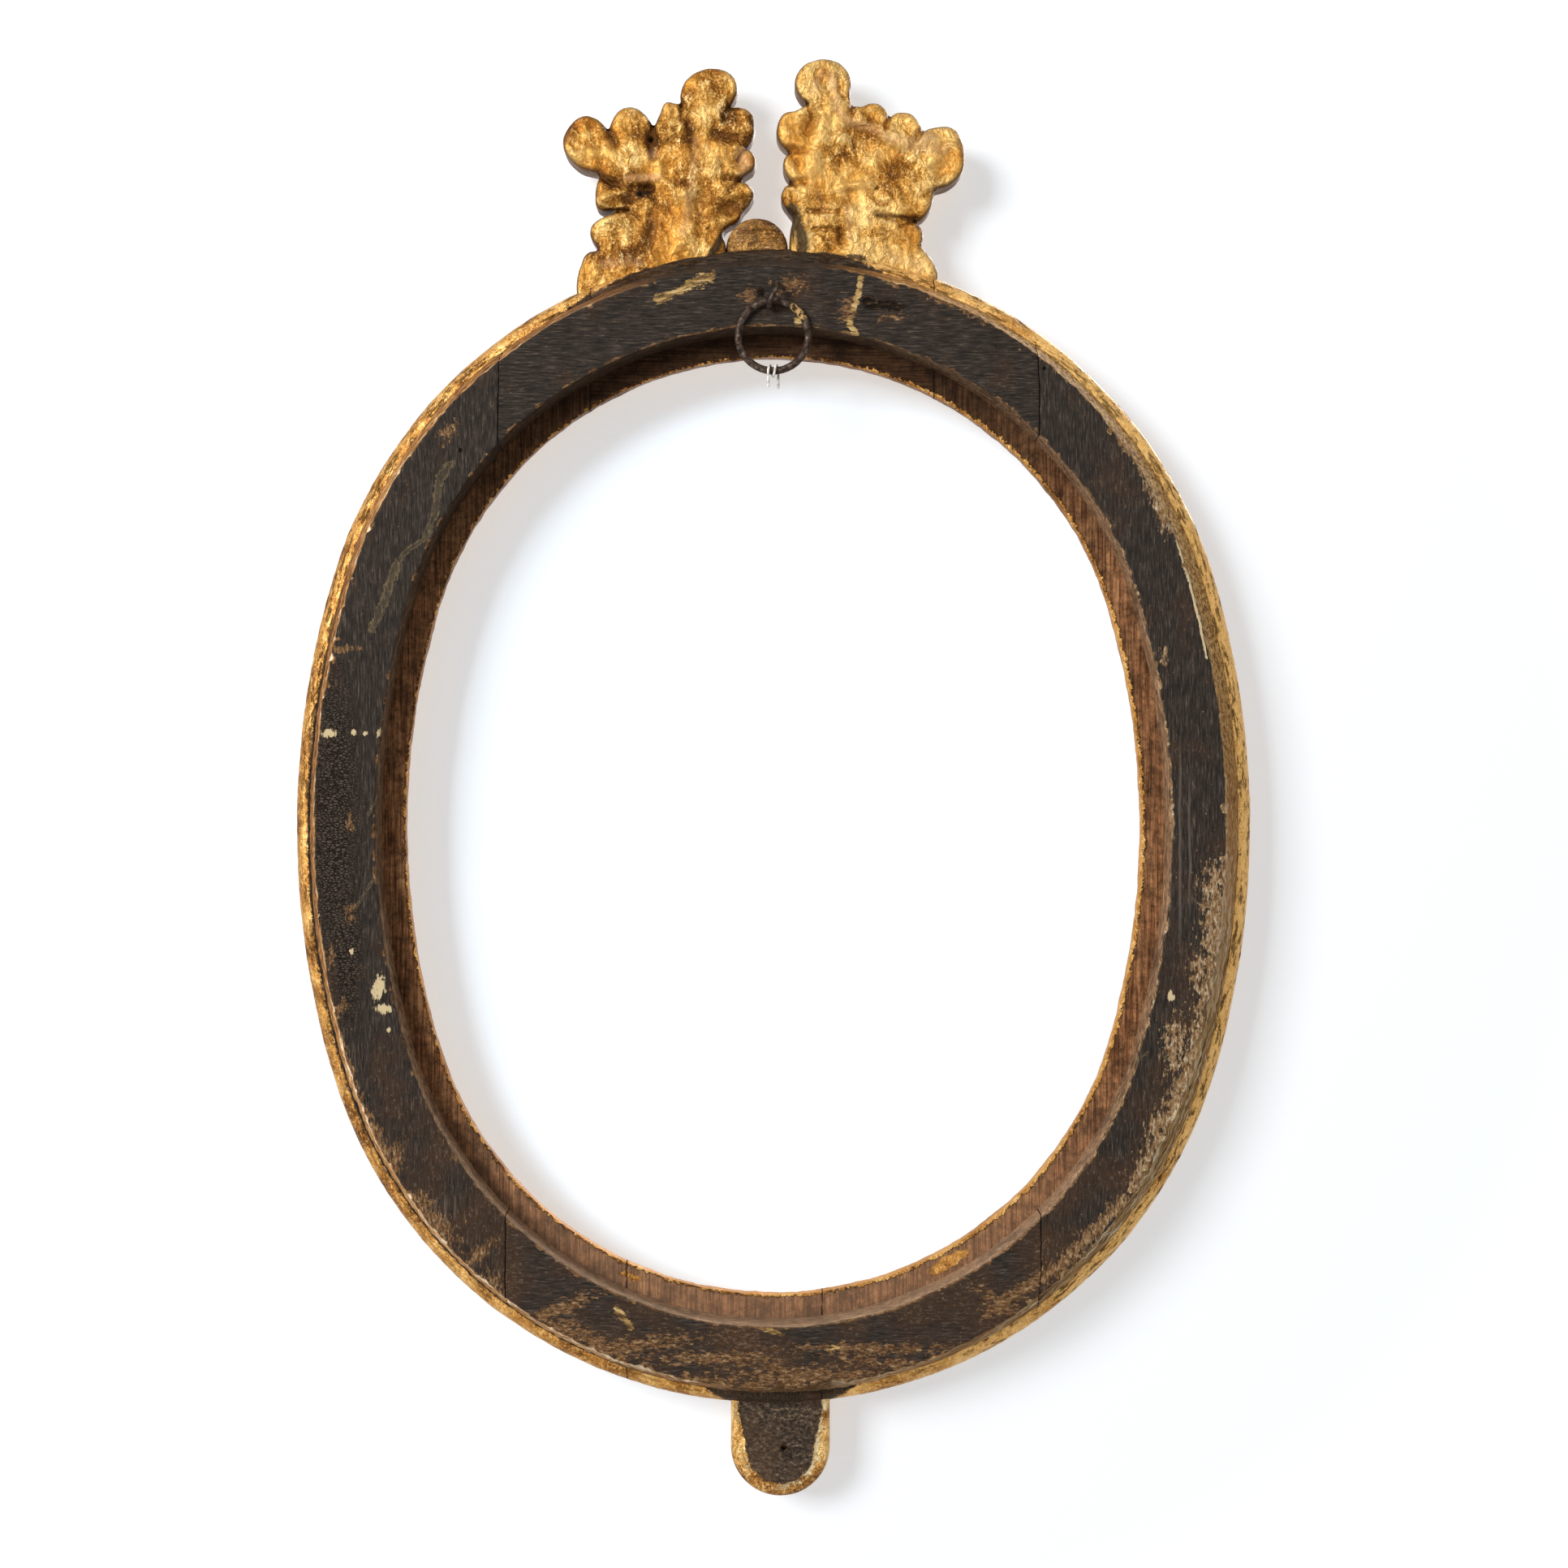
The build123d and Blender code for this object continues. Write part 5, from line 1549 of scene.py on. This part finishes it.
@dataclass(frozen=True)
class Crest:
    """The two leaves, the plug let into the right one and the sawn boss between them, in millimetres."""

    boss_x: float = -8.2
    boss_z: float = 285.5
    boss_radius: float = 15.3
    boss_back: float = 23.0
    boss_front: float = 35.0
    saw_mm: float = 1.9
    plug_radius: float = 4.6
    plug_length: float = 12.0

    def round_block(self, x: float, z: float, back: float, front: float, radius: float, edge: float, voxel: float
                    ) -> BMesh:
        """Turns a disc with eased edges.

        Args:
            x: Its middle along X.
            z: Its middle along Z.
            back: Where its back lies.
            front: Where its front lies.
            radius: Its radius.
            edge: How far its edges are eased.
            voxel: The size of its faces.

        Returns:
            The disc.
        """
        mesh = bmesh.new()
        place = Matrix.Translation((x, (back + front) / 2, z)) @ Matrix.Rotation(math.pi / 2, 4, "X")
        bmesh.ops.create_cone(
            mesh, cap_ends=True, segments=56, radius1=radius, radius2=radius, depth=front - back, matrix=place)
        rims = [e for e in mesh.edges if abs(e.verts[0].co.y - e.verts[1].co.y) < TOUCH]
        bmesh.ops.bevel(mesh, geom=rims, offset=edge, segments=4, profile=0.5, affect="EDGES", material=-1)
        return fused(mesh, voxel, smoothing=2)

    def plug(self, material: Material) -> None:
        """Turns the plug and cuts its back flush with the right leaf's.

        Args:
            material: The leaves' finish.
        """
        back = RIGHT_LEAF.back
        plug = self.round_block(*PLUG_AT, back, back + self.plug_length, self.plug_radius, edge=0.5, voxel=0.5)
        low = RIGHT_LEAF.back_height(np.array([(v.co.x, v.co.z) for v in plug.verts]))
        for v, height in zip(plug.verts, low):
            v.co.y -= height * max(0.0, 1 - (v.co.y - back) / self.plug_length)
        as_object("leaf_plug", plug, material, "frame", ["crest_plug"], sharp=80)

    def boss(self) -> None:
        """Saws the boss and dresses it in bare wood with a wash of old gilding."""
        boss = self.round_block(
            self.boss_x, self.boss_z, self.boss_back, self.boss_front, self.boss_radius, edge=4.5, voxel=0.6)
        for v in boss.verts:
            facing = max(0.0, -v.normal.y)
            wander = 1.1 * noise.noise(v.co / 9) + 0.4 * noise.noise(v.co / 2.4)
            v.co.y += facing * (0.35 * math.sin(v.co.z * 2 * math.pi / self.saw_mm + 3 * wander) + 0.8 * wander)
        made, tree, spot = new_material("sawn_softwood")
        sawn = BareWood(Grain.LEVEL, "#54341a", "#a8784a", "#d6a974", 1.0).coat(tree, spot)
        washed = add(tree, "TexNoise", {"Vector": spot, "Scale": per_mm(5), "Detail": 5, "Roughness": 0.7})
        wash = add(tree, "MapRange", (washed, 0.4, 0.52, 0.0, 0.85))
        sawn.under(tree, Gilding(gold="#a87738", pale="#c79450", metal=0.3).coat(tree, spot), wash).material(tree)
        as_object("sawn_boss", boss, made, "frame", ["crest_boss"], sharp=80)

    def build(self) -> None:
        """Builds and dresses the crest."""
        made, tree, spot = new_material("leaf_gilding_on_carved_lime")
        Gilding().coat(tree, spot).material(tree)
        for leaf in (LEFT_LEAF, RIGHT_LEAF):
            leaf.build(made)
        self.plug(made)
        self.boss()


@dataclass(frozen=True)
class Tongue:
    """The round-ended tongue under the oval: black behind, gilt on its eased edge and its front, in millimetres.

    The gilt border's points are Z and its width there.
    """

    x: float = 3.4
    half_width: float = 24.5
    top: float = -281.0
    drop: float = -331.2
    back: float = 22.0
    front: float = 37.0
    edge: float = 4.5
    hole_x: float = 5.2
    hole_z: float = -306.8
    hole_radius: float = 1.1
    border: tuple[Point, ...] = ((-331, 6.0), (-318, 7.0), (-306, 7.4), (-288, 3.4))
    flute_mm: float = 9.8
    voxel: float = 0.6

    def inset(self, x: float, z: float) -> float:
        """Says how far inside the tongue's outline a point lies.

        Args:
            x: The point's X.
            z: The point's Z.

        Returns:
            The distance.
        """
        middle = self.drop + self.half_width
        if z > middle:
            return self.half_width - abs(x - self.x)
        return self.half_width - math.hypot(x - self.x, z - middle)

    def blank(self) -> BMesh:
        """Saws the outline from a board and eases its edges.

        Returns:
            The tongue, in even small faces.
        """
        mesh = bmesh.new()
        middle = self.drop + self.half_width
        place = Matrix.Translation((self.x, self.back, middle)) @ Matrix.Rotation(math.pi / 2, 4, "X")
        bmesh.ops.create_circle(mesh, cap_ends=True, segments=72, radius=self.half_width, matrix=place)
        for v in mesh.verts:
            if v.co.z > middle + TOUCH:
                v.co.z = self.top
        thicken(mesh, self.front - self.back)
        rims = [e for e in mesh.edges if abs(e.verts[0].co.y - e.verts[1].co.y) < TOUCH and e.calc_length() > TOUCH
                and min(e.verts[0].co.z, e.verts[1].co.z) < self.top - TOUCH]
        bmesh.ops.bevel(mesh, geom=rims, offset=self.edge, segments=5, profile=0.5, affect="EDGES", material=-1)
        return fused(mesh, self.voxel, smoothing=2)

    def age(self, mesh: BMesh) -> None:
        """Scrapes the back, drills the nail hole, flutes the front, and marks where the gilt border ends.

        Args:
            mesh: The tongue.
        """
        across, relief, gilt, calm = (
            mesh.verts.layers.float.new(name) for name in ("across", "relief", "border", "calm"))
        for v in mesh.verts:
            spot = v.co.copy()
            v[across] = self.inset(spot.x, spot.z)
            v[gilt] = float(np.interp(spot.z, *zip(*self.border)))
            behind = max(0.0, 1 - (spot.y - self.back) / 8)
            rough = noise.noise(spot / 12) + 0.4 * noise.noise(spot / 3)
            scrape = max(0.0, 1 - abs(v[across] - 6.0) / 2.0)
            v[relief], v[calm] = 0.25 * rough, clamp((spot.y - 27) / 4)
            v.co.y += behind * (0.35 * rough + 0.5 * scrape * (0.6 + noise.noise(spot / 2.2)))
            drill = max(0.0, 1.35 - math.hypot(spot.x - self.hole_x, spot.z - self.hole_z) / self.hole_radius)
            if spot.y < self.back + 4:
                v.co.y += 7 * min(1.0, 2.5 * drill)
            flute = max(0.0, 1 - abs(spot.y - self.front) / 4)
            wave = 1.4 + 1.4 * math.cos((spot.x - self.x) * 2 * math.pi / self.flute_mm)
            v.co.y -= flute * wave * clamp((v[across] - 4) / 5)

    def material(self) -> Material:
        """Makes the tongue's finish: black behind, gilt at the edge and in front, chalky ground where they meet.

        Returns:
            The material.
        """
        made, tree, spot = new_material("black_paint_and_gilding_on_tongue")
        node = partial(add, tree)
        inset, border = (node("Attribute", attribute_name=name).outputs["Fac"] for name in ("across", "border"))
        fine = node("TexNoise", {"Vector": spot, "Scale": per_mm(3.2), "Detail": 5, "Roughness": 0.75})
        place = node("SeparateXYZ", {0: spot}).outputs
        behind = node("MapRange", (place[1], 0.0275, 0.0265))
        torn = node("Math.MULTIPLY_ADD", (fine, 6.0, -3.0))
        edge = node("Math.ADD", (inset, torn))
        beyond = node("Math.SUBTRACT", (edge, border))
        crumb = node("TexNoise", {"Vector": spot, "Scale": per_mm(9), "Detail": 6, "Roughness": 0.75})
        corner = node("MapRange", (place[0], -0.01, 0.022, 0.0, 0.14))
        patchy = node("Math.ADD", (crumb, corner))
        here = node("MapRange", (patchy, 0.53, 0.6))
        chalk, within = (node("MapRange", (beyond, at, at + 0.4)) for at in (-2.0, 0.2))
        line = node("Math.MULTIPLY", (chalk, here))
        white, black = (node("Math.MULTIPLY", (m, behind)) for m in (line, within))
        cream = node("ValToRGB", {"Fac": fine}, ((0.36, "#a9844e"), (0.58, "#f2deb0")))
        gilt = Gilding(amber="#a8753a", gold="#cf9b53", pale="#eac17c").coat(tree, spot)
        coat = gilt.under(tree, Coat(cream, 0.8, fine), white)
        paint = BlackPaint(
            Grain.LEVEL, body="#352b22", bloom="#594a3c", rubbed="#a08b72", brown="#503a29", streak_mm=1.4,
            least_draw=0.7).coat(tree, spot)
        coat = coat.under(tree, paint, black)
        # The nail hole painted near-black as painted shade inside it.
        hole = patch_mask(tree, spot, (Patch(self.hole_x, self.hole_z, 1.2, 1.2),), ragged=0.05)
        drilled = node("Math.MULTIPLY", (hole, behind))
        coat.under(tree, Coat(linear("#0c0806"), 0.9, 0.0), drilled).material(tree)
        return made

    def build(self) -> None:
        """Builds and dresses the tongue."""
        mesh = self.blank()
        self.age(mesh)
        as_object("tongue_block", mesh, self.material(), "frame", ["tongue"], sharp=80)


@dataclass(frozen=True)
class Hanger:
    """The forged ring, the staple that it turns in and the thread tied round its foot, in millimetres."""

    eye_y: float = -2.25
    eye_z: float = 253.8
    ring_radius: float = 16.9
    ring_wire: float = 3.7
    staple_wire: float = 2.6
    staple_low: float = 250.35
    staple_high: float = 262.35
    bow_y: float = -2.55
    leg: float = 10.0
    point: float = 5.0
    lean: float = 2.0
    lean_z: float = 255.5
    thread: float = 1.2
    wrap_radius: float = 2.7
    turns_apart: float = 3.2
    half_turns: int = 3
    tail: float = 8.0

    def hammer(self, mesh: BMesh, depth: float) -> None:
        """Dents a forged wire a little all over.

        Args:
            mesh: The wire.
            depth: How deep the dents are.
        """
        mesh.normal_update()
        for v in mesh.verts:
            dent = noise.noise(v.co / 4) + 0.5 * noise.noise(v.co / 1.6)
            v.co += v.normal * depth * (dent - 0.5)

    def ring(self, material: Material) -> None:
        """Bends the ring once round and forges it.

        Args:
            material: Its finish.
        """
        mesh = bmesh.new()
        place = Matrix.Translation((0, self.eye_y, self.eye_z)) @ Matrix.Rotation(math.pi / 2, 4, "Y")
        loop = bmesh.ops.create_circle(mesh, segments=20, radius=self.ring_wire / 2, matrix=place)["verts"]
        bmesh.ops.spin(
            mesh, geom=[*loop, *mesh.edges], cent=(0, self.eye_y, self.eye_z - self.ring_radius), axis=(0, 1, 0),
            dvec=(0, 0, 0), angle=2 * math.pi, steps=144, use_merge=True)
        bmesh.ops.remove_doubles(mesh, verts=mesh.verts, dist=0.001)
        bmesh.ops.recalc_face_normals(mesh, faces=mesh.faces)
        self.hammer(mesh, depth=0.1)
        as_object("iron_ring", mesh, material, "ring", ["hanging_ring"], sharp=80)

    def drawn_on(self, mesh: BMesh, edges: list[BMEdge], stops: Iterable[tuple[float, float, float]]
                 ) -> tuple[list[BMVert], list[BMEdge]]:
        """Draws a wire on from the loop at its end.

        Args:
            mesh: The wire.
            edges: The loop's edges.
            stops: Y and Z of each further loop's middle, and how much wider it is than the one before.

        Returns:
            The last loop's vertices and edges.
        """
        loop = []
        for y, z, growth in stops:
            grown = bmesh.ops.extrude_edge_only(mesh, edges=edges)["geom"]
            loop = only(BMVert, grown)
            edges = [e for e in only(BMEdge, grown) if all(v in loop for v in e.verts)]
            middle = sum((v.co for v in loop), Vector()) / len(loop)
            bmesh.ops.translate(mesh, vec=Vector((0, y, z)) - middle, verts=loop)
            bmesh.ops.scale(mesh, vec=(growth, 1, growth), space=Matrix.Translation((0, -y, -z)), verts=loop)
        return loop, edges

    def staple(self, material: Material) -> None:
        """Bends the staple from its upper leg round the bow to its lower leg, and points both legs.

        Args:
            material: Its finish.
        """
        mesh = bmesh.new()
        low, high, end = self.staple_low, self.staple_high, self.leg + self.point
        place = Matrix.Translation((0, end, high)) @ Matrix.Rotation(math.pi / 2, 4, "X")
        tip = bmesh.ops.create_circle(
            mesh, cap_ends=True, segments=16, radius=self.staple_wire / 8, matrix=place)["verts"]
        edges = [e for e in mesh.edges if all(v in tip for v in e.verts)]
        down_leg = np.linspace(self.leg, self.bow_y, 9)[1:]
        up_leg = np.linspace(self.bow_y, self.leg, 9)[1:]
        loop, edges = self.drawn_on(mesh, edges, ((self.leg, high, 4.0), *((y, high, 1.0) for y in down_leg)))
        bent = bmesh.ops.spin(
            mesh, geom=[*loop, *edges], cent=(0, self.bow_y, (high + low) / 2), axis=(1, 0, 0), dvec=(0, 0, 0),
            angle=math.pi, steps=24)["geom_last"]
        self.drawn_on(mesh, only(BMEdge, bent), (*((y, low, 1.0) for y in up_leg), (end, low, 0.25)))
        bmesh.ops.holes_fill(mesh, edges=[e for e in mesh.edges if e.is_boundary], sides=0)
        bmesh.ops.remove_doubles(mesh, verts=mesh.verts, dist=0.001)
        bmesh.ops.recalc_face_normals(mesh, faces=mesh.faces)
        for v in mesh.verts:
            out = clamp(-v.co.y / 4)
            v.co.x += out * self.lean * math.sin((v.co.z - self.lean_z) / 3.6)
        self.hammer(mesh, depth=0.12)
        as_object("iron_staple", mesh, material, "frame", ["staple"], sharp=80)

    def wrap(self, share: float) -> Vector:
        """Gives the thread's place round the ring's foot.

        Args:
            share: How many half turns it has made.

        Returns:
            The place.
        """
        angle = math.pi * share
        foot = self.eye_z - 2 * self.ring_radius
        x = self.turns_apart * (share - self.half_turns / 2) / 2
        return Vector((x, self.eye_y - self.wrap_radius * math.cos(angle), foot + self.wrap_radius * math.sin(angle)))

    def tie(self, material: Material) -> None:
        """Lays the thread: up in front, one and a half times round the ring's foot and down behind.

        Args:
            material: Its finish.
        """
        points = [self.wrap(0) - Vector((0, 0, drop)) for drop in np.linspace(self.tail, 1, 8)]
        points += [self.wrap(share) for share in np.linspace(0, self.half_turns, 61)]
        points += [self.wrap(self.half_turns) - Vector((0, 0, drop)) for drop in np.linspace(1, self.tail, 8)]
        curve = bpy.data.curves.new("cotton_thread", "CURVE")
        curve.dimensions, curve.use_fill_caps = "3D", True
        curve.bevel_depth, curve.bevel_resolution = self.thread / 2 * MM, 3
        line = curve.splines.new("POLY")
        line.points.add(len(points) - 1)
        for at, spot in zip(line.points, points):
            at.co = (*(spot * MM), 1)
        curve.materials.append(material)
        made = placed("cotton_thread", curve)
        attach(made, "ring")
        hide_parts("thread")

    def build(self) -> None:
        """Builds and dresses the hanger."""
        iron = ForgedIron().material()
        self.ring(iron)
        self.staple(iron)
        self.tie(CottonThread().material())
        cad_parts["ply_brads"].data.materials.clear()
        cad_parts["ply_brads"].data.materials.append(iron)


@dataclass(frozen=True)
class Dowels:
    """The turned dowels that pin the leaves and the tongue to the front ply, hidden in their holes."""

    nodes: tuple[str, ...] = ("crest_dowels", "tongue_dowels")

    def build(self) -> None:
        """Dresses the dowels."""
        made, tree, spot = new_material("turned_beech")
        BareWood(Grain.UPRIGHT, "#8a6743", "#b48d62", "#caa87e", 0.9).coat(tree, spot).material(tree)
        for node in self.nodes:
            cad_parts[node].data.materials.clear()
            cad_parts[node].data.materials.append(made)
            LOG.info("%s: dressed", node)


@dataclass(frozen=True)
class Studio:
    """The white surface just under the frame's front, the pale floor, the soft lamps and the camera, in metres."""

    pixels: float = 1932.0
    mm_per_pixel: float = 0.3986
    middle_pixel: Point = (953.0, 1018.0)
    ledge_y: float = 0.018
    camera_y: float = -1.10
    surface_y: float = 0.052
    floor_z: float = -0.42
    ambient: float = 0.36
    opening: Point = (0.185, 0.235)

    def camera(self) -> None:
        """Sets the camera square behind the frame, at the photograph's distance and framing."""
        data = bpy.data.cameras.new("camera")
        made = placed("camera", data)
        half = self.pixels / 2
        made.location = (
            (half - self.middle_pixel[0]) * self.mm_per_pixel * MM, self.camera_y,
            (self.middle_pixel[1] - half) * self.mm_per_pixel * MM)
        made.rotation_euler = (math.pi / 2, 0, 0)
        width = self.pixels * self.mm_per_pixel * MM
        data.sensor_width = 36.0
        data.lens = data.sensor_width * (self.ledge_y - self.camera_y) / width
        bpy.context.scene.camera = made

    def sheet(self, name: str, half: Point, place: Matrix, material: Material) -> None:
        """Lays a flat stage sheet.

        Args:
            name: Its name.
            half: Its half sizes.
            place: Where it lies.
            material: Its finish.
        """
        mesh = bmesh.new()
        bmesh.ops.create_grid(mesh, x_segments=1, y_segments=1, size=1, matrix=place @ Matrix.Diagonal((*half, 1, 1)))
        made = settled(name, mesh)
        made.data.materials.append(material)

    def surfaces(self) -> None:
        """Makes the white surface, which only a camera behind the frame sees, and the floor."""
        upright = Matrix.Translation((0, self.surface_y, 0)) @ Matrix.Rotation(math.pi / 2, 4, "X")
        level, grey = Matrix.Translation((0, 0, self.floor_z)), (0.4, 0.4, 0.4, 1)
        for name, place, colour, cool, glow in (
            ("white_surface", upright, (0.515, 0.55, 0.585, 1), (0.525, 0.62, 0.71, 1), 0.5),
            ("floor", level, grey, grey, 0.82),
        ):
            made, tree, spot = new_material(name)
            node = partial(add, tree)
            oval = node("Mapping", {"Vector": spot, "Scale": (1 / self.opening[0], 0, 1 / self.opening[1])})
            out = node("VectorMath.LENGTH", (oval,)).outputs["Value"]
            within = node("MapRange", (out, 1.12, 1.0))
            tint = node("Mix", {0: within, 6: colour, 7: cool}, data_type="RGBA").outputs[2]
            diffuse = node("BsdfDiffuse", {"Color": tint})
            away = node("VectorMath.LENGTH", (spot,)).outputs["Value"]
            bright = node("MapRange", (away, 0.4, 0.9, glow, 1.0))
            emit = node("Emission", {"Color": (1, 1, 1, 1), "Strength": bright})
            both = node("AddShader", {0: diffuse, 1: emit})
            turned = node("NewGeometry").outputs["Backfacing"]
            facing = node("Math.SUBTRACT", (1.0, turned))
            path = node("LightPath").outputs["Is Camera Ray"]
            seen = node("Math.MULTIPLY", (path, facing))
            clear = node("BsdfTransparent")
            mix = node("MixShader", {0: seen, 1: clear, 2: both})
            feed(tree, tree.nodes["Material Output"], {"Surface": mix})
            self.sheet(name, (3.0, 3.0), place, made)

    def lamp(self, name: str, place: Vector, size: float, power: float) -> None:
        """Hangs a square lamp that looks at the middle of the frame.

        Args:
            name: Its name.
            place: Where it hangs.
            size: Its side.
            power: Its power in watts.
        """
        data = bpy.data.lights.new(name, "AREA")
        data.size, data.energy = size, power
        made = placed(name, data)
        made.location = place
        made.rotation_euler = (-place).to_track_quat("-Z", "Y").to_euler()

    def light(self) -> None:
        """Lights the frame from the upper left behind, softly all round, and from the upper front for other views."""
        world = bpy.data.worlds.new("soft_white")
        bpy.context.scene.world = world
        world.use_nodes = True
        tree = world.node_tree
        path = add(tree, "LightPath").outputs
        seen = add(tree, "Math.MAXIMUM", (path["Is Camera Ray"], path["Is Glossy Ray"]))
        shown = add(tree, "Math.MAXIMUM", (seen, path["Is Transmission Ray"]))
        strength = add(tree, "MapRange", {"Value": shown, 3: self.ambient, 4: 1.0})
        feed(tree, tree.nodes["Background"], {"Color": (1, 1, 1, 1), "Strength": strength})
        self.lamp("key", Vector((-2.2, -2.9, 1.15)), size=1.4, power=137)
        self.lamp("front", Vector((1.1, 2.2, 1.3)), size=1.2, power=50)

    def build(self) -> None:
        """Builds the stage, the lamps and the camera."""
        bpy.context.scene.view_settings.view_transform = "Standard"
        self.camera()
        self.surfaces()
        self.light()


def main() -> None:
    """Builds the frame's pieces in order, then the studio."""
    logging.basicConfig(level=logging.INFO)
    oval = Oval.inside_rim(FrontPly.rim_edge)
    for assembly in (BackPly(oval), FrontPly(oval), Crest(), Tongue(), Hanger(), Dowels(), Studio()):
        assembly.build()
        LOG.info("%s is built", type(assembly).__name__)


if __name__ == "__main__":
    main()
